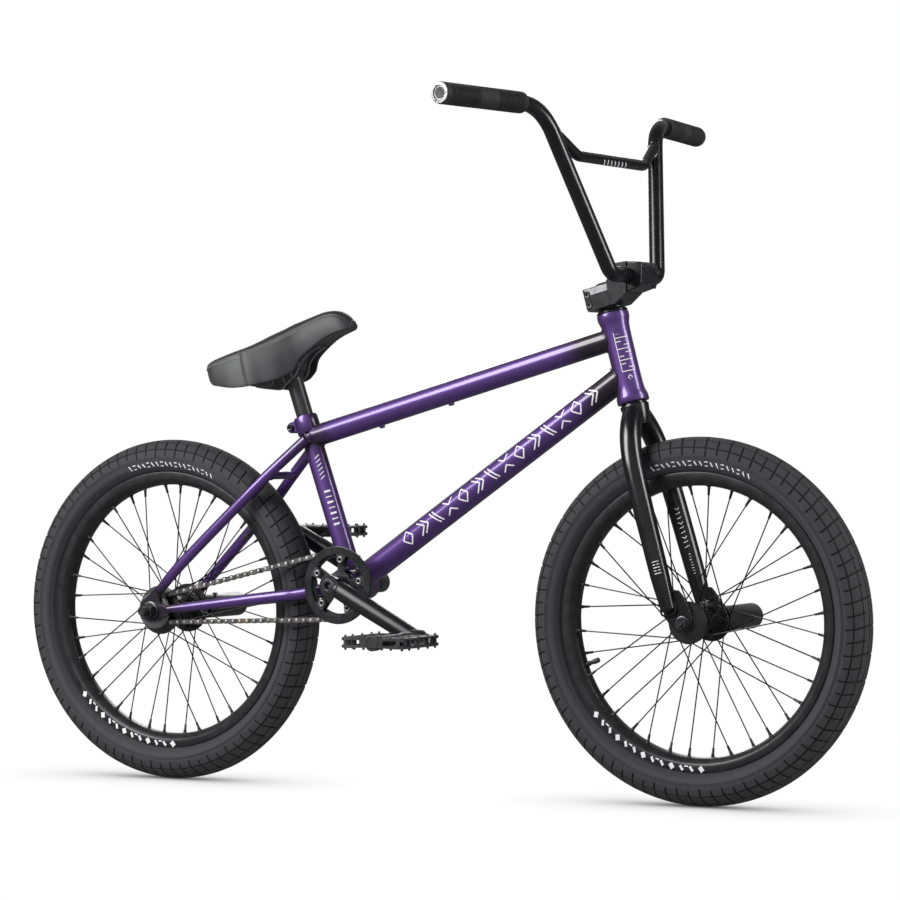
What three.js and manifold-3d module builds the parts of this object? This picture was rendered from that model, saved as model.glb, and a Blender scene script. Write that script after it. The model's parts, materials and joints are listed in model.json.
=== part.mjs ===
// Freestyle BMX bicycle: 20 inch wheels, no brakes, one foot peg on the left of each axle.
// Units are millimetres. +X is forward, +Y the rider's left, +Z up.
// The origin lies on the ground, midway between the axles, in the bicycle's middle plane.
import * as THREE from "three";
import { mergeVertices } from "three/addons/utils/BufferGeometryUtils.js";
import Module from "manifold-3d";

const wasm = await Module();
wasm.setup();
const { Manifold, Mesh: SolidMesh } = wasm;

const rad = THREE.MathUtils.degToRad;
const vec = (x, y, z) => new THREE.Vector3(x, y, z);
const ORIGIN = vec(0, 0, 0);
const Y_AXIS = vec(0, 1, 0);
const Z_AXIS = vec(0, 0, 1);
const SIDES = [["right", -1], ["left", 1]]; // name, sign of Y

// ---------------------------------------------------------------- driving dimensions
const WHEEL_BASE = 891;
const TYRE_R = 259; // outer radius of the inflated tyre
const REAR = vec(-WHEEL_BASE / 2, 0, TYRE_R); // axle centres
const FRONT = vec(WHEEL_BASE / 2, 0, TYRE_R);

const BRACKET = vec(-119.8, 0, 302.5); // bottom bracket centre
const SHELL_W = 68; // bottom bracket shell
const SHELL_R = 24;
const SHELL_BORE = 20.9;

const SEAT_TUBE_ANGLE = 71; // degrees above the level
const SEAT_TUBE_TOP = 263; // distance up the tube from the bottom bracket
const SEAT_TUBE_R = 15;
const SEAT_TUBE_BORE = 13.6;
const SEATPOST_R = 12.7;
const SEATPOST_LOW = 165; // both ends of the post, up the seat tube
const SEATPOST_HEAD = 334;

const HEAD_LOW = vec(343.7, 0, 566.4); // lower end of the head tube
const HEAD_LEN = 131.4;
const HEAD_R = 19.3;
const HEAD_END_R = 23;
const HEAD_BORE = 15.7;
const HEAD_POCKET_R = 20.6; // bearing pocket in each end
const HEAD_POCKET_DEPTH = 8.3;
const STEER_TILT = 14.64; // steering axis leans back from the vertical, degrees
const STEERER_R = 14.3;
const STEERER_HOLE_R = STEERER_R + 0.6; // parts that slip over the steerer

const TOP_TUBE_R = 16.3;
const DOWN_TUBE_R = 18.2;
const TUBE_WALL = 1.6;

const FRONT_HALF_GAP = 50; // half the spacing between dropout faces
const REAR_HALF_GAP = 55;
const FORK_DROPOUT_T = 6.5;
const REAR_DROPOUT_T = 6.7;
const DROPOUT_RELIEF = 0.3; // set back from each inner face
const AXLE_OFFSET = vec(20.8, 0, -323.2); // front axle in the steering frame
const FRONT_AXLE_R = 4.8;
const REAR_AXLE_R = 7;
const AXLE_FIT = 0.25; // play of nuts and pegs on the axle
const PEG_R = 18.5;
const PEG_BORE = 15.5;
const PEG_LEN = 117;

const CRANK_LEN = 165;
const CRANK_ANGLE = 26.5; // right crank points forward and this far below level
const SPINDLE_R = 9.5;
const SPINDLE_HALF = 77;
const SPINDLE_FIT_R = SPINDLE_R + 0.3;
const CHAIN_Y = -43.5;
const CHAIN_PITCH = 12.7;
const RING_TEETH = 25;
const COG_TEETH = 9;

const BAR_R = 11.1;
const BAR_WALL = 1.6;
const BEARING_FIT = 0.4; // gap round each bearing of the frame

// ---------------------------------------------------------------- solids
const MERGE_DISTANCE = 2e-4;

// A closed geometry as a solid, turned to face out.
function solid(geometry) {
  for (const name of Object.keys(geometry.attributes)) {
    if (name !== "position") geometry.deleteAttribute(name);
  }
  const merged = mergeVertices(geometry, MERGE_DISTANCE);
  const index = merged.index.array;
  const triangles = [];
  for (let i = 0; i < index.length; i += 3) {
    const corners = [index[i], index[i + 1], index[i + 2]];
    if (new Set(corners).size === 3) triangles.push(corners);
  }
  const build = (faces) => new Manifold(new SolidMesh({
    numProp: 3,
    vertProperties: new Float32Array(merged.attributes.position.array),
    triVerts: new Uint32Array(faces.flat()),
  }));
  const shape = build(triangles);
  if (shape.volume() >= 0) return shape;
  return build(triangles.map(([first, second, third]) => [first, third, second]));
}

function geometryOf(shape) {
  const mesh = shape.getMesh();
  const geometry = new THREE.BufferGeometry();
  const positions = new Float32Array(mesh.vertProperties);
  geometry.setAttribute("position", new THREE.BufferAttribute(positions, 3));
  geometry.setIndex(new THREE.BufferAttribute(new Uint32Array(mesh.triVerts), 1));
  geometry.computeVertexNormals();
  return geometry;
}

const join = (...parts) => parts.flat().reduce((sum, part) => sum.add(part));
const cut = (body, ...tools) => tools.flat().reduce((rest, tool) => rest.subtract(tool), body);

// Turns a geometry built along +Y to lie along a direction from a start point.
function placeOnAxis(geometry, start, direction) {
  const turn = new THREE.Quaternion().setFromUnitVectors(Y_AXIS, direction.clone().normalize());
  return geometry.applyQuaternion(turn).translate(start.x, start.y, start.z);
}

// Straight round bar, or a cone if the end radius differs.
function bar(start, end, radius, seg, endRadius = radius) {
  const direction = end.clone().sub(start);
  const length = direction.length();
  const geometry = new THREE.CylinderGeometry(endRadius, radius, length, seg);
  geometry.translate(0, length / 2, 0);
  return solid(placeOnAxis(geometry, start, direction));
}
const barY = (yFrom, yTo, radius, seg, x = 0, z = 0) =>
  bar(vec(x, yFrom, z), vec(x, yTo, z), radius, seg);
const barZ = (zFrom, zTo, radius, seg, endRadius) =>
  bar(vec(0, 0, zFrom), vec(0, 0, zTo), radius, seg, endRadius);

// Body of revolution. Its profile is a closed loop of [radius, height along the axis].
function revolve(profile, seg, start = ORIGIN, direction = Y_AXIS) {
  const points = [...profile, profile[0]].map(([r, h]) => new THREE.Vector2(r, h));
  return solid(placeOnAxis(new THREE.LatheGeometry(points, seg), start, direction));
}
const ringProfile = (inner, outer, from, to) =>
  [[inner, from], [outer, from], [outer, to], [inner, to]];
const tubeY = (yFrom, yTo, outer, inner, seg, centre) =>
  revolve(ringProfile(inner, outer, yFrom, yTo), seg, centre);
// Whole profile from its half at positive heights.
const mirrored = (half) => [...half.slice().reverse().map(([r, h]) => [r, -h]), ...half];

const flatPoints = (outline) => outline.map(([x, y]) => new THREE.Vector2(x, y));

// Plate whose outline is in [x, z], filling yFrom to yTo.
function plate(outline, yFrom, yTo, holes = []) {
  const shape = new THREE.Shape(flatPoints(outline));
  for (const hole of holes) shape.holes.push(new THREE.Path(flatPoints(hole)));
  const options = { depth: yTo - yFrom, bevelEnabled: false };
  const geometry = new THREE.ExtrudeGeometry(shape, options);
  return solid(geometry.rotateX(Math.PI / 2).translate(0, yTo, 0));
}

function box(size, centre, turnY = 0, turnZ = 0) {
  const geometry = new THREE.BoxGeometry(...size).rotateY(turnY).rotateZ(turnZ);
  return solid(geometry.translate(...centre));
}

function mean(points) {
  const sum = vec(0, 0, 0);
  points.forEach((point) => sum.add(point));
  return sum.divideScalar(points.length);
}

// Closed skin over rings with equal numbers of points; each end is a fan about its centre.
function skin(rings, endCentres = [mean(rings[0]), mean(rings.at(-1))]) {
  const size = rings[0].length;
  const last = (rings.length - 1) * size;
  const points = [...rings.flat(), ...endCentres];
  const index = [];
  for (let k = 0; k < size; k++) {
    const next = (k + 1) % size;
    for (let base = 0; base < last; base += size) {
      index.push(base + k, base + next, base + k + size);
      index.push(base + next, base + next + size, base + k + size);
    }
    index.push(points.length - 2, next, k);
    index.push(points.length - 1, last + k, last + next);
  }
  return solid(new THREE.BufferGeometry().setFromPoints(points).setIndex(index));
}

// Round tube along a list of points, with mitred joints and flat ends.
// Its radius is one number, or one for each point.
function loft(path, radius, seg) {
  const tangents = path.map((point, i) => {
    const tangent = vec(0, 0, 0);
    if (i > 0) tangent.add(point.clone().sub(path[i - 1]).normalize());
    if (i < path.length - 1) tangent.add(path[i + 1].clone().sub(point).normalize());
    return tangent.normalize();
  });
  let normal = vec(1, 0, 0).cross(tangents[0]);
  // a path that starts nearly along X takes its normal from Z
  if (normal.length() < 0.3) normal = vec(0, 0, 1).cross(tangents[0]);
  normal.normalize();
  const rings = path.map((point, i) => {
    if (i > 0) {
      const bend = new THREE.Quaternion().setFromUnitVectors(tangents[i - 1], tangents[i]);
      normal.applyQuaternion(bend);
    }
    const across = tangents[i].clone().cross(normal).normalize();
    const size = Array.isArray(radius) ? radius[i] : radius;
    return Array.from({ length: seg }, (_, k) => {
      const angle = (2 * Math.PI * k) / seg;
      return point.clone()
        .addScaledVector(normal, size * Math.cos(angle))
        .addScaledVector(across, size * Math.sin(angle));
    });
  });
  return skin(rings, [path[0], path.at(-1)]);
}

// Points of a polyline with each inner corner rounded to its own radius.
function rounded(points, radii, steps) {
  const path = [points[0]];
  for (let i = 1; i < points.length - 1; i++) {
    const corner = points[i];
    const back = points[i - 1].clone().sub(corner).normalize();
    const ahead = points[i + 1].clone().sub(corner).normalize();
    const half = back.angleTo(ahead) / 2;
    const setback = radii[i - 1] / Math.tan(half);
    const inward = back.clone().add(ahead).normalize();
    const centre = corner.clone().addScaledVector(inward, radii[i - 1] / Math.sin(half));
    const from = corner.clone().addScaledVector(back, setback).sub(centre);
    const to = corner.clone().addScaledVector(ahead, setback).sub(centre);
    const sweep = from.angleTo(to);
    const axis = from.clone().cross(to).normalize();
    for (let k = 0; k <= steps; k++) {
      path.push(from.clone().applyAxisAngle(axis, (sweep * k) / steps).add(centre));
    }
  }
  path.push(points.at(-1));
  return path;
}

// Point at a distance from start towards a target.
const towards = (start, target, distance) =>
  start.clone().addScaledVector(target.clone().sub(start).normalize(), distance);
const onCircle = (radius, angle) => [radius * Math.cos(angle), radius * Math.sin(angle)];
// A [from, to] span of Y on one side, given distances from the middle plane.
const sideSpan = (side, inner, outer) => (side < 0 ? [-outer, -inner] : [inner, outer]);
// A table of [x, distance from the middle plane, z] as points on one side.
const sidePath = (table, side) => table.map(([x, y, z]) => vec(x, y * side, z));

// ---------------------------------------------------------------- materials
const material = (settings) => new THREE.MeshStandardMaterial(settings);
const MATERIALS = {
  purple: material({ color: 0x5b3c8f, roughness: 0.42, metalness: 0.55 }),
  black: material({ color: 0x17171a, roughness: 0.3, metalness: 0.3 }),
  satin: material({ color: 0x1d1d20, roughness: 0.45, metalness: 0.4 }),
  rubber: material({ color: 0x1a1a1b, roughness: 0.85, metalness: 0 }),
  tyre: material({ color: 0x202021, roughness: 0.9, metalness: 0 }),
  steel: material({ color: 0x8d8f92, roughness: 0.35, metalness: 1 }),
  blackSteel: material({ color: 0x26262a, roughness: 0.4, metalness: 0.9 }),
  plastic: material({ color: 0x1b1b1d, roughness: 0.6, metalness: 0 }),
  cover: material({ color: 0x19191b, roughness: 0.65, metalness: 0 }),
};

const root = new THREE.Group();

function addGroup(parent, position = ORIGIN, turnY = 0) {
  const group = new THREE.Group();
  group.position.copy(position);
  group.rotation.y = turnY;
  parent.add(group);
  return group;
}

function addMesh(parent, name, shape, materialName) {
  const mesh = new THREE.Mesh(geometryOf(shape), MATERIALS[materialName]);
  mesh.name = name;
  parent.add(mesh);
}

// ---------------------------------------------------------------- frame
const SEAT_TURN = rad(SEAT_TUBE_ANGLE - 90);
const SEAT_UP = vec(-Math.cos(rad(SEAT_TUBE_ANGLE)), 0, Math.sin(rad(SEAT_TUBE_ANGLE)));
const SEAT_BACK = vec(-SEAT_UP.z, 0, SEAT_UP.x); // square to the seat tube, to the rear
const HEAD_UP = vec(-Math.sin(rad(STEER_TILT)), 0, Math.cos(rad(STEER_TILT)));
const HEAD_FORWARD = vec(HEAD_UP.z, 0, -HEAD_UP.x); // square to the head tube
const onSeat = (along, back = 0) =>
  BRACKET.clone().addScaledVector(SEAT_UP, along).addScaledVector(SEAT_BACK, back);
const onHead = (along) => HEAD_LOW.clone().addScaledVector(HEAD_UP, along);

const TOP_TUBE_REAR = onSeat(230);
const TOP_TUBE_FRONT = vec(319.3, 0, 659.6);
const DOWN_TUBE_FRONT = vec(332.8, 0, 607.6);
const CLAMP_BOLT = onSeat(253.5, 23.5);

// Stay centre lines from front to rear: x, distance from the middle plane, z.
const SEAT_STAY = [
  [-193, 19, 517], [-254, 37.5, 460], [-300, 48, 415], [-391, 58.3, 330], [-431, 58.2, 290],
];
const CHAIN_STAY = [
  [-128, 20, 300], [-165, 27, 293.5], [-200, 37, 287], [-240, 44.5, 282.5], [-415, 59, 261.6],
];
const HEAD_PROFILE = [ // radius, height; flared at both ends
  [2, 0], [HEAD_END_R, 0], [HEAD_END_R, 9], [HEAD_R + 0.6, 20], [HEAD_R, HEAD_LEN / 2],
  [HEAD_R + 0.6, HEAD_LEN - 20], [HEAD_END_R, HEAD_LEN - 9], [HEAD_END_R, HEAD_LEN], [2, HEAD_LEN],
];
// Rear dropout: x, z from the axle. The slot for the axle opens to the rear.
const REAR_DROPOUT = [
  [-19, -7.5], [-15.5, -12.5], [-8, -15.8], [4, -16.2], [16, -13.5], [31, -7], [34, 2.5],
  [24, 7.5], [16.5, 12.5], [14.5, 21], [20, 33], [12, 38], [6, 32], [-2, 25], [-12, 17],
  [-19, 7.5], [0, 7.5], [5.7, 5.7], [8, 0], [5.7, -5.7], [0, -7.5],
];

function rearDropout(side) {
  const outline = REAR_DROPOUT.map(([x, z]) => [REAR.x + x, REAR.z + z]);
  const inner = REAR_HALF_GAP + DROPOUT_RELIEF;
  return plate(outline, ...sideSpan(side, inner, REAR_HALF_GAP + REAR_DROPOUT_T));
}

// Inside of a stay, open at the front and closed near the dropout.
function stayHollow(start, path, radii) {
  const end = towards(path.at(-1), path.at(-2), 12);
  return loft([start, ...path.slice(0, -1), end], radii, 4);
}

// Inside of a main tube, stopping short of both ends.
const tubeHollow = (start, end, radius, startGap, endGap) =>
  bar(towards(start, end, startGap), towards(end, start, endGap), radius - TUBE_WALL, 8);

function frameBody() {
  const parts = [
    revolve(HEAD_PROFILE, 16, HEAD_LOW, HEAD_UP),
    bar(TOP_TUBE_REAR, TOP_TUBE_FRONT, TOP_TUBE_R, 12),
    bar(BRACKET, DOWN_TUBE_FRONT, DOWN_TUBE_R, 12),
    bar(BRACKET, onSeat(SEAT_TUBE_TOP), SEAT_TUBE_R, 12),
    bar(onSeat(238), onSeat(SEAT_TUBE_TOP), 18.2, 12), // collar
    barY(-SHELL_W / 2, SHELL_W / 2, SHELL_R, 16, BRACKET.x, BRACKET.z),
    box([20, 21, 17], onSeat(253.5, 19.5), SEAT_TURN), // clamp ears behind the seat tube
    barY(-31, 31, 6.5, 6, -248, 464), // bridge between the seat stays
  ];
  for (const [, side] of SIDES) {
    parts.push(loft(sidePath(SEAT_STAY, side), [8, 7.8, 7.7, 7.4, 6.8], 8));
    parts.push(loft(sidePath(CHAIN_STAY, side), [8.5, 8.5, 8.5, 8.5, 6], 8));
    parts.push(rearDropout(side));
  }
  return join(parts);
}

function frameSolid() {
  const hollows = [
    bar(onHead(-1), onHead(HEAD_LEN + 1), HEAD_BORE, 16),
    bar(onHead(-1), onHead(HEAD_POCKET_DEPTH), HEAD_POCKET_R, 16),
    bar(onHead(HEAD_LEN - HEAD_POCKET_DEPTH), onHead(HEAD_LEN + 1), HEAD_POCKET_R, 16),
    barY(-SHELL_W, SHELL_W, SHELL_BORE, 16, BRACKET.x, BRACKET.z),
    bar(BRACKET, onSeat(SEAT_TUBE_TOP + 1), SEAT_TUBE_BORE, 12),
    tubeHollow(TOP_TUBE_REAR, TOP_TUBE_FRONT, TOP_TUBE_R, 6, 9),
    tubeHollow(BRACKET, DOWN_TUBE_FRONT, DOWN_TUBE_R, 10, 12),
    // slot and bolt hole of the seat clamp
    box([26, 2.4, 40], onSeat(SEAT_TUBE_TOP - 9, 22), SEAT_TURN),
    barY(-20, 20, 3.4, 8, CLAMP_BOLT.x, CLAMP_BOLT.z),
  ];
  for (const [, side] of SIDES) {
    const seatStay = sidePath(SEAT_STAY, side);
    const chainStay = sidePath(CHAIN_STAY, side);
    hollows.push(stayHollow(vec(-183, 8 * side, 527), seatStay, [5.4, 5.4, 5.4, 5.4, 5.2, 4.6]));
    hollows.push(stayHollow(vec(-120, 14 * side, 301), chainStay, [5.8, 5.8, 5.8, 5.8, 5.8, 4.2]));
  }
  return cut(frameBody(), hollows);
}

function seatClampBolt() {
  const { x, z } = CLAMP_BOLT;
  return join(
    barY(-13, 13, 2.9, 8, x, z), barY(-15, -10.9, 5, 8, x, z), barY(10.9, 14.5, 5, 8, x, z));
}

const frameGroup = addGroup(root);
addMesh(frameGroup, "frame", frameSolid(), "purple");
addMesh(frameGroup, "seat_clamp_bolt", seatClampBolt(), "blackSteel");
const BEARING_TOP = HEAD_POCKET_DEPTH - BEARING_FIT;
for (const [place, from, to] of [
  ["lower", BEARING_FIT, BEARING_TOP],
  ["upper", HEAD_LEN - BEARING_TOP, HEAD_LEN - BEARING_FIT],
]) {
  const profile = ringProfile(15, HEAD_POCKET_R - BEARING_FIT, from, to);
  const bearing = revolve(profile, 16, HEAD_LOW, HEAD_UP);
  addMesh(frameGroup, "headset_bearing_" + place, bearing, "steel");
}
for (const [name, side] of SIDES) {
  const span = sideSpan(side, 25, SHELL_W / 2);
  const bearing = tubeY(...span, SHELL_BORE - BEARING_FIT, 10.1, 16, BRACKET);
  addMesh(frameGroup, "bottom_bracket_bearing_" + name, bearing, "steel");
}

// ---------------------------------------------------------------- chain
const pitchRadius = (teeth) => CHAIN_PITCH / (2 * Math.sin(Math.PI / teeth));
const RING_PITCH_R = pitchRadius(RING_TEETH);
const COG_PITCH_R = pitchRadius(COG_TEETH);
const CHAIN_LINE = BRACKET.clone().sub(REAR);
const CHAIN_SPAN = CHAIN_LINE.length();
const CHAIN_TILT = Math.atan2(CHAIN_LINE.z, CHAIN_LINE.x);
// extra angle of chain on the ring at each end of its half turn
const CHAIN_WRAP = Math.asin((RING_PITCH_R - COG_PITCH_R) / CHAIN_SPAN);

// Points [x, z] round part of a sprocket.
function chainArc(centre, radius, from, sweep, steps) {
  return Array.from({ length: steps + 1 }, (_, i) => {
    const [x, z] = onCircle(radius, from + (sweep * i) / steps);
    return [centre.x + x, centre.z + z];
  });
}

// Loop round both sprockets, offset outwards from the pitch line.
function chainLoop(offset) {
  const quarter = Math.PI / 2 + CHAIN_WRAP;
  const cogSweep = Math.PI - 2 * CHAIN_WRAP;
  return [
    ...chainArc(BRACKET, RING_PITCH_R + offset, CHAIN_TILT - quarter, 2 * quarter, 10),
    ...chainArc(REAR, COG_PITCH_R + offset, CHAIN_TILT + quarter, cogSweep, 6),
  ];
}

function chainSolid() {
  const outer = chainLoop(4);
  const inner = chainLoop(-4).reverse();
  const pieces = SIDES.map(([, side]) => {
    const [from, to] = sideSpan(side, 1.9, 4.2);
    return plate(outer, CHAIN_Y + from, CHAIN_Y + to, [inner]);
  });
  // rollers of the two free runs
  const run = Math.sqrt(CHAIN_SPAN ** 2 - (RING_PITCH_R - COG_PITCH_R) ** 2);
  const count = Math.floor(run / CHAIN_PITCH);
  for (const sign of [1, -1]) {
    const angle = CHAIN_TILT + sign * (Math.PI / 2 + CHAIN_WRAP);
    const onSprocket = (centre, radius) => {
      const [x, z] = onCircle(radius, angle);
      return vec(centre.x + x, 0, centre.z + z);
    };
    const start = onSprocket(REAR, COG_PITCH_R);
    const end = onSprocket(BRACKET, RING_PITCH_R);
    for (let i = 1; i < count - 2; i++) {
      const { x, z } = start.clone().lerp(end, (i + 0.4) / count);
      pieces.push(barY(CHAIN_Y - 2.6, CHAIN_Y + 2.6, 3.6, 4, x, z));
    }
  }
  return join(pieces);
}
addMesh(frameGroup, "chain", chainSolid(), "blackSteel");

// ---------------------------------------------------------------- axle parts, rear axle set
// Hexagonal nut, with a round flange of the given radius at its +Y end if one is asked for.
function hexNut(yFrom, yTo, acrossFlats, axleR, flangeR = 0) {
  const parts = [barY(yFrom, yTo, acrossFlats / Math.sqrt(3), 6)];
  if (flangeR) parts.push(barY(yTo - 2, yTo, flangeR, 14));
  return cut(join(parts), barY(yFrom - 5, yTo + 5, axleR + AXLE_FIT, 14));
}

// Foot peg: a cup open to the left, with an axle hole in its floor.
function pegSolid(yFrom, axleR) {
  const yTo = yFrom + PEG_LEN;
  return cut(
    join(barY(yFrom + 1.5, yTo - 1, PEG_R, 14), barY(yFrom, yTo, PEG_R - 1, 14)),
    barY(yFrom + 6, yTo + 2, PEG_BORE, 12),
    barY(yFrom - 2, yFrom + 8, axleR + AXLE_FIT, 14),
  );
}

const OUTER_GUARD = [[7.4, -54.6], [22, -54.6], [28, -52.4], [28, -50.8], [7.4, -50.8]];

const rearAxle = addGroup(root, REAR);
addMesh(rearAxle, "rear_axle", barY(-87, 84, REAR_AXLE_R - 0.1, 14), "steel");
const rearRightNut = hexNut(-76, -62.1, 21, REAR_AXLE_R, 12.5);
addMesh(rearAxle, "rear_axle_nut_right", rearRightNut, "blackSteel");
addMesh(rearAxle, "rear_axle_nut_left", hexNut(68.5, 80, 19, REAR_AXLE_R), "blackSteel");
addMesh(rearAxle, "rear_peg", pegSolid(62.2, REAR_AXLE_R), "satin");
addMesh(rearAxle, "rear_hub_guard_outer", revolve(OUTER_GUARD, 16), "plastic");

// ---------------------------------------------------------------- seat
// In the seat frame X runs forward along the seat and Z up the post.
const CUSHION_UNDER = 353.5; // underside between the skirts
// Cushion stations: x, skirt half width, skirt edge z, piping half width, piping z, top z.
const CUSHION_STATIONS = [
  [-118, 40, 369, 36, 377, 382], [-111, 48, 366, 46, 378.5, 387.5],
  [-99, 56, 346.5, 51, 379, 390], [-68, 62, 332, 54, 378.5, 390],
  [-41, 60, 325.7, 52, 377.5, 390.4], [-22, 53, 323.6, 47, 377, 393],
  [-3, 46, 322, 41, 377, 395.4], [20, 34, 326, 33, 380, 396.8],
  [36, 28, 341, 27, 382.5, 398.4], [60, 24.5, 350.5, 21, 385.5, 398.2],
  [83, 22, 356.5, 18, 388, 397.7], [100, 20, 358, 15, 386, 394.5],
  [117.5, 16, 358, 10, 373, 384], [125.5, 8, 357, 6, 361, 367],
];
// Base stations: x, half width at the top, underside z, half width below.
const BASE_STATIONS = [
  [-98, 36, 347.5, 24], [-70, 44, 340, 26], [-54, 44, 329.5, 24], [-33, 40, 318.8, 20],
  [-13.3, 30, 311.8, 18.5], [-8.5, 28, 314.5, 18.5], [15.5, 22.5, 325.5, 17.5],
  [25, 20.5, 337, 15], [35, 18.5, 343.8, 13], [49.6, 16, 349.2, 11], [64, 14, 351.4, 9.5],
];

function cushionRing([x, skirtW, skirtZ, pipingW, pipingZ, topZ]) {
  const half = [ // y, z from the top, over the piping and under the skirt
    [0.3 * pipingW, topZ],
    [0.76 * pipingW, pipingZ + 0.66 * (topZ - pipingZ)],
    [pipingW, pipingZ],
    [pipingW + 0.75 * (skirtW - pipingW), 0.5 * (pipingZ + skirtZ)],
    [skirtW, skirtZ],
    [skirtW - 3.5, skirtZ + 0.5],
    [Math.min(pipingW, skirtW) - 5, Math.max(skirtZ + 1.2, CUSHION_UNDER)],
  ];
  const left = half.map(([y, z]) => vec(x, y, z));
  const right = half.map(([y, z]) => vec(x, -y, z)).reverse();
  return [...left, ...right];
}

// Moulded base under the cushion, recessed for the post and its head.
function seatBase() {
  const top = CUSHION_UNDER - 0.5;
  const tray = skin(BASE_STATIONS.map(([x, topW, lowZ, lowW]) =>
    [vec(x, -topW, top), vec(x, -lowW, lowZ), vec(x, lowW, lowZ), vec(x, topW, top)]));
  const neck = [[-13.3, 334], [-17.4, 306], [17.4, 306], [13.3, 334]];
  return cut(tray, barY(-13.6, 13.6, 15.6, 16, 0, SEATPOST_HEAD), plate(neck, -13.6, 13.6));
}

function seatpost() {
  const post = barZ(SEATPOST_LOW, SEATPOST_HEAD, SEATPOST_R, 12);
  const bore = barZ(SEATPOST_LOW - 2, SEATPOST_HEAD - 30, 10.4, 10);
  return join(cut(post, bore), barY(-13, 13, 15, 16, 0, SEATPOST_HEAD));
}

const seatGroup = addGroup(root, BRACKET, SEAT_TURN);
addMesh(seatGroup, "seatpost", seatpost(), "black");
addMesh(seatGroup, "seat_cushion", skin(CUSHION_STATIONS.map(cushionRing)), "cover");
addMesh(seatGroup, "seat_base", seatBase(), "plastic");

// ---------------------------------------------------------------- fork and headset
// The steering frame starts at the head tube's lower end, with Z up the steering axis.
const LEG = [ // x, distance from the middle plane, z
  [0, 2, -9], [0, 14, -20], [0, 27, -35], [0, 38, -54], [0, 46, -78], [0.6, 50.5, -104],
  [2, 54, -150], [4.6, 57.5, -250], [5.4, 57.2, -299],
];
const LEG_RADII = [15, 15.3, 15.3, 15.2, 15, 14.8, 14.6, 13.7, 10.8];
const LEG_HOLLOW = [[0, -1, -12], ...LEG.slice(1, -1), [5.3, 57.2, -288]];
const LEG_HOLLOW_RADII = [8, 11.5, 12, 12, 12, 12, 12, 11, 8.4];
const FORK_DROPOUT = [ // x, z
  [-3, -282], [9, -262], [14, -272], [19, -275], [25, -277], [30, -289], [35.5, -305],
  [35.8, -320], [33, -331], [26, -337], [17, -337], [8, -331], [0, -319], [-4, -306],
];
const CROWN_PROFILE = [
  [3, -32], [14.6, -32], [19, -20], [20.3, -8], [20.3, -3.4], [17.6, -0.4], [3, -0.4],
];

function forkSolid() {
  const parts = [barZ(-34, 168.5, STEERER_R, 12), revolve(CROWN_PROFILE, 12, ORIGIN, Z_AXIS)];
  const hollows = [barZ(-60, 172, 11.6, 8)];
  const inner = FRONT_HALF_GAP + DROPOUT_RELIEF;
  for (const [, side] of SIDES) {
    parts.push(loft(sidePath(LEG, side), LEG_RADII, 10));
    const span = sideSpan(side, inner, FRONT_HALF_GAP + FORK_DROPOUT_T);
    parts.push(plate(FORK_DROPOUT, ...span));
    hollows.push(loft(sidePath(LEG_HOLLOW, side), LEG_HOLLOW_RADII, 6));
    const axleSpan = sideSpan(side, 40, 70);
    hollows.push(barY(...axleSpan, FRONT_AXLE_R + 0.4, 10, AXLE_OFFSET.x, AXLE_OFFSET.z));
  }
  return cut(join(parts), hollows);
}

const COVER_PROFILE = [ // radius, height above the head tube's upper end
  [STEERER_HOLE_R, 0.4], [22.6, 0.4], [22, 2.6], [18.2, 5.2], [STEERER_HOLE_R, 5.2],
];
const SPACER_PROFILE = ringProfile(STEERER_HOLE_R, 17.8, 5.5, 7.6);
const onHeadTop = (profile) => revolve(profile, 16, vec(0, 0, HEAD_LEN), Z_AXIS);

const steering = addGroup(root, HEAD_LOW, rad(-STEER_TILT));
addMesh(steering, "fork", forkSolid(), "black");
addMesh(steering, "headset_cover", onHeadTop(COVER_PROFILE), "black");
addMesh(steering, "headset_spacer", onHeadTop(SPACER_PROFILE), "steel");

// ---------------------------------------------------------------- stem
const BAR_CLAMP = vec(47.5, 0, 173.4); // bar centre in the steering frame
const STEM_HALF_W = 26;
const SPLIT = vec(0.2612, 0, 0.9653); // direction of the split between body and cap
const PINCH_X = -21;
const PINCH_BOLTS = [["lower", 148.5], ["upper", 163.5]]; // name, z

// [x, z] at a distance up the split, and forward of it.
const onFace = (up, forward) => [
  BAR_CLAMP.x + forward * SPLIT.z + up * SPLIT.x,
  BAR_CLAMP.z - forward * SPLIT.x + up * SPLIT.z,
];
const STEM_SIDE = [
  [-25, 141.5], [-22.5, 139.4], [19.5, 139.4], onFace(-24.2, -0.4), onFace(19.6, -0.4),
  [34.5, 194.7], [12.6, 172], [-25, 171.8], [-27, 170],
];
const CAP_SIDE = [
  onFace(-23.8, 0.8), onFace(-18.3, 17.2), onFace(-13.8, 23.6), onFace(13, 23.6),
  onFace(18.5, 20), onFace(19.4, 0.8),
];
const clampHole = () => barY(-40, 40, BAR_R + 0.4, 16, BAR_CLAMP.x, BAR_CLAMP.z);

function stemBody() {
  // waist: the steerer block is narrower than the bar clamp
  const waist = SIDES.map(([, side]) =>
    box([60, 20, 70], [-16, side * (STEM_HALF_W + 10), 160], 0, side * 0.16));
  const boltHoles = PINCH_BOLTS.flatMap(([, z]) =>
    [barY(-30, 30, 3.3, 8, PINCH_X, z), barY(-30, -19.3, 5.3, 8, PINCH_X, z)]);
  const slot = box([22, 2.4, 60], [-24, 0, 158]);
  const steererHole = barZ(130, 200, STEERER_HOLE_R, 16);
  const block = plate(STEM_SIDE, -STEM_HALF_W, STEM_HALF_W);
  return cut(block, waist, steererHole, clampHole(), slot, boltHoles);
}

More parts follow.
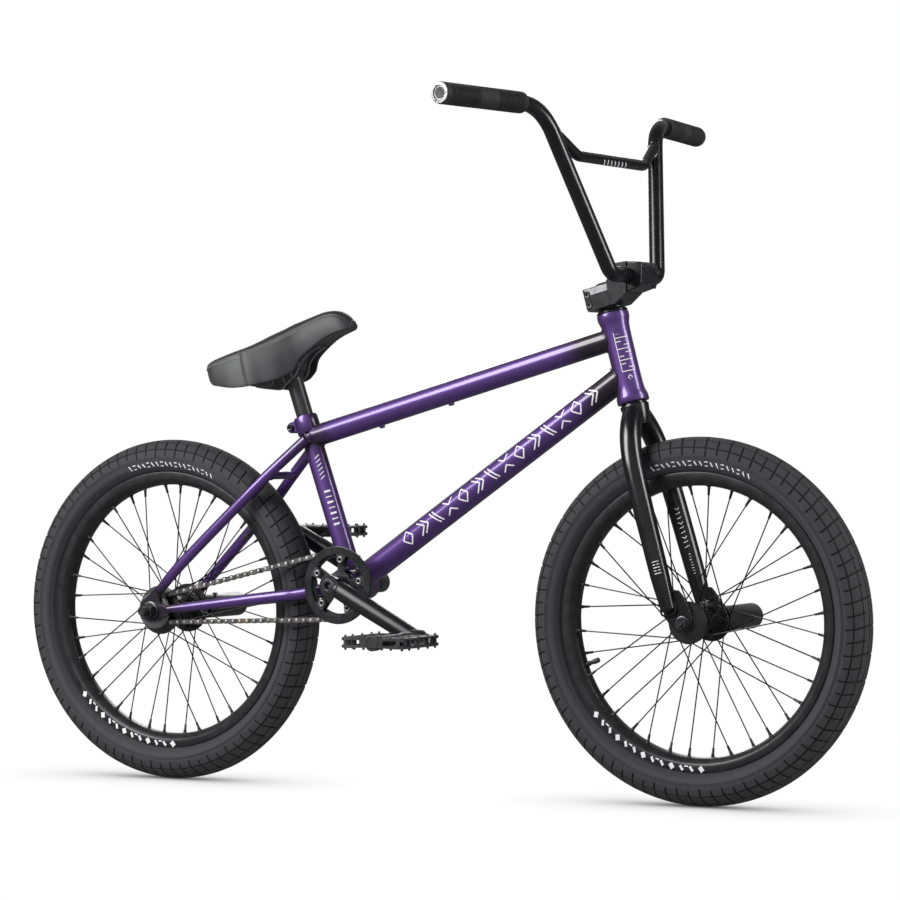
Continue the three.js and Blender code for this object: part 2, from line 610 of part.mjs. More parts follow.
function stemCap() {
  const bolts = [];
  for (const y of [-17, 17]) {
    for (const up of [-14.4, 12.4]) {
      const onBolt = (forward) => {
        const [x, z] = onFace(up, forward);
        return vec(x, y, z);
      };
      bolts.push(bar(onBolt(16), onBolt(24.3), 4.2, 8));
    }
  }
  return join(cut(plate(CAP_SIDE, -STEM_HALF_W, STEM_HALF_W), clampHole()), bolts);
}

addMesh(steering, "stem_body", stemBody(), "satin");
addMesh(steering, "stem_cap", stemCap(), "satin");
for (const [place, z] of PINCH_BOLTS) {
  const bolt = join(barY(-20, 17, 2.9, 8, PINCH_X, z), barY(-23.5, -19.6, 4.6, 8, PINCH_X, z));
  addMesh(steering, "stem_pinch_bolt_" + place, bolt, "blackSteel");
}
// top cap, its bolt, and the plug inside the steerer
const steererCap = join(
  barZ(172.6, 176, 14.3, 12, 13), barZ(120, 173, 4, 8), barZ(118, 128, 10.2, 8));
addMesh(steering, "steerer_cap", steererCap, "black");

// ---------------------------------------------------------------- front axle set
const FRONT_GUARD = [ // radius, distance from the middle plane
  [5.5, 49.6], [13.5, 49.6], [16, 48.6], [28.5, 40.8], [30, 39], [30, 37.4],
  [18.8, 44.4], [14, 46.2], [5.5, 46.2],
];

const frontAxle = addGroup(steering, AXLE_OFFSET);
addMesh(frontAxle, "front_axle", barY(-67.5, 76, FRONT_AXLE_R - 0.1, 10), "steel");
const frontRightNut = hexNut(-64.8, -56.9, 15.5, FRONT_AXLE_R, 10.5);
addMesh(frontAxle, "front_axle_nut_right", frontRightNut, "blackSteel");
addMesh(frontAxle, "front_axle_nut_left", hexNut(63.5, 72, 15, FRONT_AXLE_R), "blackSteel");
addMesh(frontAxle, "front_peg", pegSolid(57, FRONT_AXLE_R), "satin");
for (const [name, side] of SIDES) {
  const guard = revolve(FRONT_GUARD.map(([r, h]) => [r, side * h]), 16);
  addMesh(frontAxle, "front_hub_guard_" + name, guard, "plastic");
}

// ---------------------------------------------------------------- handlebar
const GRIP_R = 15.2;
const GRIP_START_Y = 220.5;
// Corners of the left half, then of the crossbar, in the bicycle's frame.
const BAR_CORNERS = [
  [345.83, 0, 746.16], [345.83, 72.8, 746.16], [292, 176.3, 975.5], [256.2, 391, 976],
];
const CROSSBAR_CORNERS = [
  [299.5, -161, 944], [310, -103.5, 910], [310, 103.5, 910], [299.5, 161, 944],
];

// Table of points on one side, moved to the steering frame.
const steeringPath = (table, side) => sidePath(table, side).map((point) => {
  const offset = point.sub(HEAD_LOW);
  return vec(offset.dot(HEAD_FORWARD), offset.y, offset.dot(HEAD_UP));
});

function handlebar() {
  // the centre point is left out, so one straight piece spans the clamp
  const left = rounded(steeringPath(BAR_CORNERS, 1), [19, 64], 4).slice(1);
  const right = left.map(({ x, y, z }) => vec(x, -y, z)).reverse();
  const path = [...right, ...left];
  const inner = [
    towards(path[0], path[1], -5), ...path.slice(1, -1), towards(path.at(-1), path.at(-2), -5),
  ];
  const crossbar = loft(rounded(steeringPath(CROSSBAR_CORNERS, 1), [30, 30], 2), 7.9, 8);
  return cut(join(loft(path, BAR_R, 12), crossbar), loft(inner, BAR_R - BAR_WALL, 6));
}

// Profiles are radius, distance outwards from the grip's inner end.
function gripProfile(length) {
  const bore = BAR_R + 0.35;
  return [
    [bore, 0], [14, 0], [GRIP_R, 3], [GRIP_R, length - 2], [14.4, length - 0.3],
    [bore, length - 0.3],
  ];
}
function barEndProfile(length) {
  const plugR = BAR_R - 3.5;
  return [
    [0.5, length - 16], [plugR, length - 16], [plugR, length + 0.3], [14.6, length + 0.3],
    [14.6, length + 2], [12, length + 3.6], [0.5, length + 3.6],
  ];
}

const barGroup = addGroup(steering);
addMesh(barGroup, "handlebar", handlebar(), "black");
for (const [name, side] of SIDES) {
  const [, , corner, end] = steeringPath(BAR_CORNERS, side);
  const fraction = (GRIP_START_Y - BAR_CORNERS[2][1]) / (BAR_CORNERS[3][1] - BAR_CORNERS[2][1]);
  const start = corner.clone().lerp(end, fraction);
  const outward = end.clone().sub(start);
  const length = outward.length();
  const grip = revolve(gripProfile(length), 12, start, outward);
  addMesh(barGroup, "grip_" + name, grip, "rubber");
  const barEnd = revolve(barEndProfile(length), 12, start, outward);
  addMesh(barGroup, "bar_end_" + name, barEnd, "plastic");
}

// ---------------------------------------------------------------- wheels
const WHEEL_SEG = 24; // facets round each wheel
const RIM_R = 209.5;
const RIM_IN = 190.5;
const FLANGE_R = 29;
const SPOKE_HOLE_R = 25.5;
const SPOKES = 36;
const CROSS_ANGLE = 60; // between a spoke's two ends, degrees round the hub
const TUBE_CENTRE_R = 231; // centre of the inner tube's section

// Half sections of the wheel: radius, distance from the middle plane.
const TYRE_HALF = [
  [254.8, 4], [241.5, 24.2], [226, 27], [213, 15.2], [204.2, 11.4],
  [204.2, 14.4], [210.3, 14.6], [212.2, 18.2], [226, 29.6], [243, 27.5], [TYRE_R, 5],
];
const RIM_HALF = [
  [RIM_IN, 8], [198, 16.4], [RIM_R, 17.6], [RIM_R, 15.2], [203.6, 15], [200, 8],
];
const RIM_CAVITY_HALF = [[192.7, 7.4], [197.6, 9.5]];

const polar = (radius, angle, y) => vec(radius * Math.cos(angle), y, radius * Math.sin(angle));
const radialBar = (angle, from, to, radius, seg) =>
  bar(polar(from, angle, 0), polar(to, angle, 0), radius, seg);
const wheelRing = (half) => revolve(mirrored(half), WHEEL_SEG);

const rimSolid = (valve) =>
  cut(wheelRing(RIM_HALF), wheelRing(RIM_CAVITY_HALF), radialBar(valve, 180, 215, 4.4, 6));

// Hollow ring with its valve stem through the rim.
function innerTube(valve) {
  const section = (radius) => Array.from({ length: 6 }, (_, i) => {
    const [r, h] = onCircle(radius, (2 * Math.PI * i) / 6);
    return [TUBE_CENTRE_R + r, h];
  });
  return cut(
    join(revolve(section(17.5), 16), radialBar(valve, 176, 220, 3.2, 6)),
    revolve(section(14.6), 16),
    radialBar(valve, 170, 225, 1.2, 4),
  );
}

// Spokes lie by turns outside and inside each flange. Their rim ends share one thin band.
function spokesSolid(flanges, valve) {
  const pieces = [revolve(ringProfile(186.6, 189.9, -6.5, 6.5), WHEEL_SEG)];
  const step = 720 / SPOKES;
  for (const [name, side] of SIDES) {
    const [inner, outer] = flanges[name];
    const offset = side < 0 ? 0 : step / 2;
    for (let k = 0; k < SPOKES / 2; k++) {
      const outside = k % 2 === 0;
      const rimAngle = rad(offset + step * k + 5);
      const hubAngle = rimAngle + rad(outside ? -CROSS_ANGLE : CROSS_ANGLE);
      const hubY = side * (outside ? outer + 3.2 : inner - 1.4);
      const hubEnd = polar(SPOKE_HOLE_R, hubAngle, hubY);
      pieces.push(bar(hubEnd, polar(188.4, rimAngle, side * 3.5), 1.2, 3));
    }
  }
  return cut(join(pieces), radialBar(valve, 183, 193, 4.4, 6));
}

// Flanges are the distances of their inner and outer faces from the middle plane.
function addWheel(position, prefix, flanges, valveAngle) {
  const wheel = addGroup(root, position);
  const valve = rad(valveAngle);
  addMesh(wheel, prefix + "_tyre", wheelRing(TYRE_HALF), "tyre");
  addMesh(wheel, prefix + "_rim", rimSolid(valve), "satin");
  addMesh(wheel, prefix + "_inner_tube", innerTube(valve), "rubber");
  addMesh(wheel, prefix + "_spokes", spokesSolid(flanges, valve), "black");
  return wheel;
}

// front wheel
const FRONT_HUB_HALF = [
  [16, 22], [19, 31], [FLANGE_R, 31], [FLANGE_R, 34], [18, 35.2], [17.2, 43], [14.2, 43],
  [14.2, 34], [5.5, 34],
];
const frontWheel = addWheel(FRONT, "front", { right: [31, 34], left: [31, 34] }, 200);
addMesh(frontWheel, "front_hub", revolve(mirrored(FRONT_HUB_HALF), 14), "satin");
for (const [name, side] of SIDES) {
  const bearing = tubeY(...sideSpan(side, 34.4, 42.7), 13.8, 5.5, 14);
  addMesh(frontWheel, "front_hub_bearing_" + name, bearing, "steel");
}

// rear wheel
const REAR_HUB = [
  [7.9, -8], [16.1, -8], [16.1, -34.6], [20.5, -34.6], [21, -31], [FLANGE_R, -30],
  [FLANGE_R, -27], [21.5, -27], [19.5, -18], [19.5, 18], [21.5, 30], [FLANGE_R, 30],
  [FLANGE_R, 33], [20, 35], [19, 48], [15, 48], [15, 38], [7.9, 38],
];
const INNER_GUARD = [[16.4, -35], [37, -35], [37, -36.6], [30, -38], [16.4, -38]];
const LEFT_GUARD = [[20.6, 37.8], [37, 37.8], [37, 39.4], [30, 41], [20.6, 41]];

// Toothed disc on the chain line.
function sprocket(teeth, phase) {
  const radius = pitchRadius(teeth);
  const rootR = radius - 3.9;
  const tipR = radius + 2.6;
  const step = (2 * Math.PI) / teeth;
  const tooth = [[-0.31, rootR], [-0.12, tipR], [0.12, tipR], [0.31, rootR]]; // steps, radius
  const points = [];
  for (let i = 0; i < teeth; i++) {
    for (const [turn, r] of tooth) points.push(onCircle(r, phase + i * step + turn * step));
  }
  return plate(points, CHAIN_Y - 1.4, CHAIN_Y + 1.4);
}

// Driver inside the hub's right-hand end, with its cog.
const driver = () => cut(
  join(
    barY(-49.4, -36.8, 13.2, 14), barY(-37.2, -9, 15.1, 14), sprocket(COG_TEETH, CHAIN_TILT)),
  barY(-60, 0, 7.9, 12),
);

const rearWheel = addWheel(REAR, "rear", { right: [27, 30], left: [30, 33] }, 40);
addMesh(rearWheel, "rear_hub", revolve(REAR_HUB, 14), "satin");
addMesh(rearWheel, "rear_hub_bearing_left", tubeY(38.4, 47.6, 14.6, 7.9, 14), "steel");
addMesh(rearWheel, "rear_hub_guard_inner", revolve(INNER_GUARD, 16), "plastic");
addMesh(rearWheel, "rear_hub_guard_left", revolve(LEFT_GUARD, 16), "plastic");
addMesh(rearWheel, "driver", driver(), "blackSteel");

// ---------------------------------------------------------------- cranks
// In the crank frame X runs along the right crank arm.
const GUARD_R = 57.5;
const GUARD_INNER_R = 45.5;
const GUARD_BOLT_R = 38;
const GUARD_Y = [-51.2, -48.3];
const SPIDER_ARMS = 5;
// Window between two spider arms: radius, degrees from its middle.
const RING_WINDOW = [[21, -20], [21, 20], [40, 25], [41.5, 12], [41.5, -12], [40, -25]];

// Arm along +X on the given side.
function crankArm(side) {
  const path = sidePath([[2, 65, 0], [30, 66.5, 0], [CRANK_LEN, 74.5, 0]], side);
  return cut(
    join(
      loft(path, [13.6, 14, 12.4], 10),
      barY(...sideSpan(side, 52.3, 76), 15.6, 14),
      barY(...sideSpan(side, 62.5, 88), 13.2, 12, CRANK_LEN),
    ),
    barY(-90, 90, SPINDLE_FIT_R, 12),
    barY(-95, 95, 7.4, 10, CRANK_LEN),
  );
}

function chainring() {
  const windows = [];
  for (let i = 0; i < SPIDER_ARMS; i++) {
    const middle = (360 / SPIDER_ARMS) * i;
    const outline = RING_WINDOW.map(([r, degrees]) => onCircle(r, rad(middle + degrees)));
    windows.push(plate(outline, CHAIN_Y - 3, CHAIN_Y + 3));
  }
  const body = join(sprocket(RING_TEETH, 0), tubeY(-51, -35, 15, 6, 12));
  return cut(body, windows, barY(-60, -30, SPINDLE_FIT_R, 12));
}

function chainringGuard() {
  const [yFrom, yTo] = GUARD_Y;
  const parts = [tubeY(yFrom, yTo, GUARD_R, GUARD_INNER_R, 24)];
  const tabR = (GUARD_BOLT_R + 47.5) / 2;
  for (let i = 0; i < SPIDER_ARMS; i++) {
    const angle = rad((360 / SPIDER_ARMS) * (i + 0.5));
    const tab = polar(tabR, angle, (yFrom + yTo) / 2);
    parts.push(box([12, yTo - yFrom, 13], tab, -angle));
    parts.push(barY(yFrom - 1.4, -45.2, 4.4, 8, ...onCircle(GUARD_BOLT_R, angle)));
  }
  return join(parts);
}

const cranks = addGroup(root, BRACKET, rad(CRANK_ANGLE));
const crankSpindle = tubeY(-SPINDLE_HALF, SPINDLE_HALF, SPINDLE_R, 5.6, 12);
addMesh(cranks, "crank_spindle", crankSpindle, "blackSteel");
addMesh(cranks, "crank_arm_right", crankArm(-1), "satin");
addMesh(cranks, "crank_arm_left", crankArm(1).mirror([1, 0, 0]), "satin");
addMesh(cranks, "chainring", chainring(), "black");
addMesh(cranks, "chainring_guard", chainringGuard(), "black");

// ---------------------------------------------------------------- pedals
// Level platforms on spindles in the arm ends, built for the left and mirrored for the right.
const PEDAL_IN = 94; // Y of both ends of the platform
const PEDAL_OUT = 199;
const PEDAL_HALF_LEN = 51;
const PEDAL_HALF_T = 8;

// Side view, x and z: thinnest over the spindle.
function pedalSide() {
  const end = PEDAL_HALF_LEN;
  const thick = PEDAL_HALF_T;
  const under = [[15, 1.5 - thick], [end * 0.6, 0.4 - thick], [end, 1 - thick]];
  const over = [[end - 3, thick - 1], [end * 0.6, thick - 0.4], [15, thick - 1.5]];
  const behind = (points) => points.map(([x, z]) => [-x, z]).reverse();
  return [...behind(under), ...under, ...over, ...behind(over)];
}

// Openings and cut-off corners of the front half, seen from above: x, y.
function pedalOpenings() {
  const middle = (PEDAL_IN + PEDAL_OUT) / 2;
  const end = PEDAL_HALF_LEN;
  return [
    [[17, PEDAL_IN + 12], [41, PEDAL_IN + 18], [41, middle - 4], [17, middle - 4]],
    [[17, middle + 4], [41, middle + 4], [41, PEDAL_OUT - 17], [17, PEDAL_OUT - 10]],
    [[end + 2, PEDAL_IN - 2], [end + 2, PEDAL_IN + 16], [end - 13, PEDAL_IN - 2]],
    [[end + 2, PEDAL_OUT + 2], [end + 2, PEDAL_OUT - 13], [end - 11, PEDAL_OUT + 2]],
  ];
}

function verticalCut(outline) {
  const shape = new THREE.Shape(flatPoints(outline));
  const geometry = new THREE.ExtrudeGeometry(shape, { depth: 60, bevelEnabled: false });
  return solid(geometry.translate(0, 0, -30));
}

function pedalSolid() {
  const cuts = [-1, 1].flatMap((end) => pedalOpenings().map((outline) =>
    verticalCut(outline.map(([x, y]) => [x * end, y]))));
  const body = cut(plate(pedalSide(), PEDAL_IN, PEDAL_OUT), cuts);
  const boss = barY(PEDAL_IN + 0.5, PEDAL_OUT + 1, 11.4, 12);
  return cut(join(body, boss), barY(PEDAL_IN - 2, PEDAL_OUT - 8, 7.5, 10));
}

const pedalSpindle = () => join(barY(68, PEDAL_OUT - 10, 6.6, 10), barY(88.6, 93.2, 9.5, 10));

for (const [name, side] of SIDES) {
  const [forward, down] = onCircle(CRANK_LEN, rad(CRANK_ANGLE));
  const armEnd = vec(BRACKET.x - side * forward, 0, BRACKET.z + side * down);
  const pedal = addGroup(root, armEnd);
  const onSide = (shape) => (side < 0 ? shape.mirror([0, 1, 0]) : shape);
  addMesh(pedal, "pedal_spindle_" + name, onSide(pedalSpindle()), "steel");
  addMesh(pedal, "pedal_" + name, onSide(pedalSolid()), "plastic");
}

export default root;
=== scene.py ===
# BMX bicycle: the looks of the frame, drivetrain, saddle, front end and wheels over the CAD part.
# It stands on z = 0 and heads along +X, with its left side at +Y and its chain on the right (-Y).
# Lengths are millimetres unless a comment says metres; lights are placed in metres.
import json
import math
import random
from math import cos, hypot, pi, radians, sin

import bmesh
import bpy
import numpy as np
from mathutils import Matrix, Vector
from mathutils.geometry import tessellate_polygon

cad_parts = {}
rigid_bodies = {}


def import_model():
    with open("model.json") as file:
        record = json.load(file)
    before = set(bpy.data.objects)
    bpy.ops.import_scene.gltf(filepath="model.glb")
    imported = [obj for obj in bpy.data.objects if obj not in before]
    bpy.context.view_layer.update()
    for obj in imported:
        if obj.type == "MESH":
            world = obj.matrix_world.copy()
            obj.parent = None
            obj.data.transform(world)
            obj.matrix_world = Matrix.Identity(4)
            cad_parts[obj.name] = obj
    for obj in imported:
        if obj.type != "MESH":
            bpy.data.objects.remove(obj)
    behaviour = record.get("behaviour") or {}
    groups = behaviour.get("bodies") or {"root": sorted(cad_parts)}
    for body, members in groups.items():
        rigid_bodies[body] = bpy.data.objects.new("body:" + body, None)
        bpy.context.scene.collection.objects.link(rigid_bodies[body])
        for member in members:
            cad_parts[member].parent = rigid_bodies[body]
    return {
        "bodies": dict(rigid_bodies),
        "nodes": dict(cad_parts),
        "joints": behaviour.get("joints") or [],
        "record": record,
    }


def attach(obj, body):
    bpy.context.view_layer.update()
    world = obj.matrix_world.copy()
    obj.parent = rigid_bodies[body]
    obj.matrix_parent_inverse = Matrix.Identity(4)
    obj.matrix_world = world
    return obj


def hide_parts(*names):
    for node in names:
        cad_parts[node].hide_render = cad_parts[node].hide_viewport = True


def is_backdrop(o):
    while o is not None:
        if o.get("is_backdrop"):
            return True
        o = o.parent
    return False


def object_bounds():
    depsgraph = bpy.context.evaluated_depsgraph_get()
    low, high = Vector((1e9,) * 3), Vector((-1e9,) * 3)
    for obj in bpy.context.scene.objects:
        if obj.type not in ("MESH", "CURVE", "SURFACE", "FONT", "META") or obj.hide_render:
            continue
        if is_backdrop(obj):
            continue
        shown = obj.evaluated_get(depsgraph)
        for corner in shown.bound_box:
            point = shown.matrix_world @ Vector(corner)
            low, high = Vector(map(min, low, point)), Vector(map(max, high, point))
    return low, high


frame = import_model()
cad_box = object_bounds()
random.seed(7)
scene = bpy.context.scene


def vec(x, y, z):
    return np.array([x, y, z], float)


def unit(v):
    return np.asarray(v, float) / np.linalg.norm(v)


def clamp01(x):
    return max(0.0, min(1.0, x))


def local_frame(origin, ahead, up):
    """Map from local (ahead, left, up) to the bicycle's own axes."""
    return lambda p: origin + p[0] * ahead + vec(0, p[1], 0) + p[2] * up


# ---------------------------------------------------------------- driving dimensions
ORIGIN, AHEAD, LEFT, UP = vec(0, 0, 0), vec(1, 0, 0), vec(0, 1, 0), vec(0, 0, 1)
SIDES = ((-1, "right"), (1, "left"))
TYRE_RADIUS = 259
HALF_WHEELBASE = 445.5
REAR = vec(-HALF_WHEELBASE, 0, TYRE_RADIUS)
FRONT = vec(HALF_WHEELBASE, 0, TYRE_RADIUS)
SHELL = vec(-119.8, 0, 302.5)  # centre of the crank's shell
HEAD_FOOT = vec(343.7, 0, 566.4)
HEAD_LENGTH = 131.4
SEAT_ANGLE, HEAD_LEAN, CRANK_ANGLE = radians(71), radians(14.64), radians(26.5)
SEAT_UP = vec(-cos(SEAT_ANGLE), 0, sin(SEAT_ANGLE))
SEAT_AHEAD = vec(sin(SEAT_ANGLE), 0, cos(SEAT_ANGLE))
HEAD_UP = vec(-sin(HEAD_LEAN), 0, cos(HEAD_LEAN))
HEAD_AHEAD = vec(cos(HEAD_LEAN), 0, sin(HEAD_LEAN))
HEAD_TOP = HEAD_FOOT + HEAD_UP * HEAD_LENGTH
seat_point = local_frame(SHELL, SEAT_AHEAD, SEAT_UP)
head_point = local_frame(HEAD_FOOT, HEAD_AHEAD, HEAD_UP)
crank_point = local_frame(
    SHELL,
    vec(cos(CRANK_ANGLE), 0, -sin(CRANK_ANGLE)),
    vec(sin(CRANK_ANGLE), 0, cos(CRANK_ANGLE)),
)


def on_seat(along, behind=0, y=0):
    return seat_point((-behind, y, along))


def mirror(points, side):
    """Points of the left side, put on the given side."""
    return [vec(x, side * y, z) for x, y, z in points]


def mirror_profile(profile, side):
    return [(r, side * h) for r, h in profile[::side]]


def span(side, near, far):
    return sorted((side * near, side * far))


# ---------------------------------------------------------------- materials
class Nodes:
    """A node tree; inputs take a value or another node's output socket."""

    def __init__(self, tree):
        self.tree = tree

    def plug(self, socket, value):
        if isinstance(value, bpy.types.NodeSocket):
            self.tree.links.new(value, socket)
        elif socket.type == "RGBA":
            socket.default_value = (*value, 1.0)
        else:
            socket.default_value = value

    def feed(self, node, *slots, **named):
        """Set inputs by place, inputs by name (_ for a space) and properties."""
        for name, value in named.items():
            socket = node.inputs.get(name.replace("_", " "))
            if socket is None:
                setattr(node, name, value)
            else:
                self.plug(socket, value)
        for socket, value in zip(node.inputs, slots):
            self.plug(socket, value)

    def add(self, kind, *slots, out=0, **named):
        node = self.tree.nodes.new("ShaderNode" + kind)
        self.feed(node, *slots, **named)
        return node.outputs[out]

    def ramp(self, factor, *stops):
        """Colour ramp through (position, colour) stops in rising order."""
        output = self.add("ValToRGB", factor)
        elements = output.node.color_ramp.elements
        for element, (position, colour) in zip(elements, (stops[0], stops[-1])):
            element.position, element.color = position, (*colour, 1.0)
        for position, colour in stops[1:-1]:
            elements.new(position).color = (*colour, 1.0)
        return output

    def by_ray(self, others, glossy, camera):
        """One shader for camera rays, one for glossy rays and one for all others."""
        rays = self.add("LightPath").node.outputs
        unseen = self.add("MixShader", rays["Is Glossy Ray"], others, glossy)
        return self.add("MixShader", rays["Is Camera Ray"], unseen, camera)


BLACK, WHITE = (0, 0, 0), (1, 1, 1)


def new_material(name):
    material = bpy.data.materials.new(name)
    material.use_nodes = True
    tree = material.node_tree
    return material, Nodes(tree), tree.nodes["Principled BSDF"]


def finish_material(name, low, high, rough, metallic, blotch, grain, bump, depth,
                    coat=0.0, coat_rough=0.3, specular=0.5, wear=None, stretch=None):
    """Blotches vary colour and roughness, grain gives the bump, wear lightens sharp edges."""
    material, nodes, shader = new_material(name)
    coords = nodes.add("TexCoord", out="Object")
    grain_coords = nodes.add("Mapping", coords, Scale=stretch) if stretch else coords
    noise = nodes.add("TexNoise", coords, Scale=blotch, Detail=4.0, Roughness=0.6)
    colour = nodes.ramp(noise, (0.35, low), (0.7, high))
    if wear:
        edges = nodes.add("NewGeometry", out="Pointiness")
        edges = nodes.ramp(edges, (0.53, BLACK), (0.62, WHITE))
        amount = nodes.add("Math", edges, noise, operation="MULTIPLY")
        colour = nodes.add("MixRGB", Fac=amount, Color1=colour, Color2=wear)
    fine = nodes.add("TexNoise", grain_coords, Scale=grain, Detail=3.0, Roughness=0.55)
    nodes.feed(
        shader,
        Base_Color=colour,
        Roughness=nodes.add("MapRange", noise, From_Min=0.3, From_Max=0.7,
                            To_Min=rough[0], To_Max=rough[1]),
        Normal=nodes.add("Bump", Height=fine, Strength=bump, Distance=depth),
        Metallic=metallic,
        Coat_Weight=coat,
        Coat_Roughness=coat_rough,
        Specular_IOR_Level=specular,
    )
    return material


def paint_material():
    """Violet paint: brighter facing the eye, deep at grazing angles, near black where it fades."""
    material, nodes, shader = new_material("frame_paint")
    coords = nodes.add("TexCoord", out="Object")
    facing = nodes.add("LayerWeight", Blend=0.35, out="Facing")
    violet = nodes.ramp(facing, (0.0, (0.105, 0.045, 0.225)), (0.45, (0.068, 0.027, 0.150)),
                        (0.85, (0.018, 0.007, 0.045)))
    fade = nodes.add("Attribute", attribute_name="fade", out="Fac")
    cloud = nodes.add("TexNoise", coords, Scale=45.0, Detail=3.0)
    uneven = nodes.add("Math", cloud, 0.12, -0.06, operation="MULTIPLY_ADD")
    amount = nodes.add("Math", fade, uneven, operation="ADD", use_clamp=True)
    flakes = nodes.add("TexNoise", coords, Scale=2600.0, Detail=2.0)
    nodes.feed(
        shader,
        Base_Color=nodes.add("MixRGB", Fac=amount, Color1=violet, Color2=(0.020, 0.013, 0.018)),
        Metallic=0.55,
        Roughness=nodes.add("MapRange", flakes, To_Min=0.40, To_Max=0.50),
        Normal=nodes.add("Bump", Height=flakes, Strength=0.02, Distance=0.0001),
        Coat_Weight=1.0,
        Coat_Roughness=0.13,
    )
    return material


def tyre_material():
    """Rubber; the fade attribute is positive on the sidewall and negative in the tread's cuts, where
    it paints shade: the cuts are coloured near black.
    """
    material, nodes, shader = new_material("tyre_rubber")
    coords = nodes.add("TexCoord", out="Object")
    fade = nodes.add("Attribute", attribute_name="fade", out="Fac")
    noise = nodes.add("TexNoise", coords, Scale=70.0, Detail=5.0, Roughness=0.65)
    rubber = nodes.ramp(noise, (0.0, (0.022, 0.022, 0.024)), (1.0, (0.042, 0.042, 0.045)))
    wall = nodes.add("Math", fade, 1.0, operation="MULTIPLY", use_clamp=True)
    # painted shade: where the fade attribute is negative, in the tread's cuts, the rubber turns near
    # black
    cuts = nodes.add("Math", fade, -1.05, operation="MULTIPLY", use_clamp=True)
    colour = nodes.add("MixRGB", Fac=wall, Color1=rubber, Color2=(0.040, 0.040, 0.045),
                       use_clamp=True)
    fine = nodes.add("TexNoise", coords, Scale=1500.0, Detail=3.0)
    nodes.feed(
        shader,
        Base_Color=nodes.add("MixRGB", Fac=cuts, Color1=colour, Color2=(0.004, 0.004, 0.004)),
        Roughness=nodes.add("MapRange", noise, To_Min=0.62, To_Max=0.86),
        Normal=nodes.add("Bump", Height=fine, Strength=0.35, Distance=0.0003),
        Specular_IOR_Level=0.4,
    )
    return material


def leather_material(name, low, high):
    """Pebbled cover: small cells and fine noise in the bump, with a soft sheen."""
    material, nodes, shader = new_material(name)
    coords = nodes.add("TexCoord", out="Object")
    noise = nodes.add("TexNoise", coords, Scale=35.0, Detail=4.0)
    cells = nodes.add("TexVoronoi", coords, Scale=900.0, feature="DISTANCE_TO_EDGE")
    fine = nodes.add("TexNoise", coords, Scale=2200.0, Detail=2.0)
    height = nodes.add("Math", fine, 0.35, cells, operation="MULTIPLY_ADD")
    nodes.feed(
        shader,
        Base_Color=nodes.ramp(noise, (0.3, low), (0.75, high)),
        Roughness=nodes.add("MapRange", noise, To_Min=0.42, To_Max=0.56),
        Normal=nodes.add("Bump", Height=height, Strength=0.22, Distance=0.0003),
        Sheen_Weight=0.05,
    )
    return material


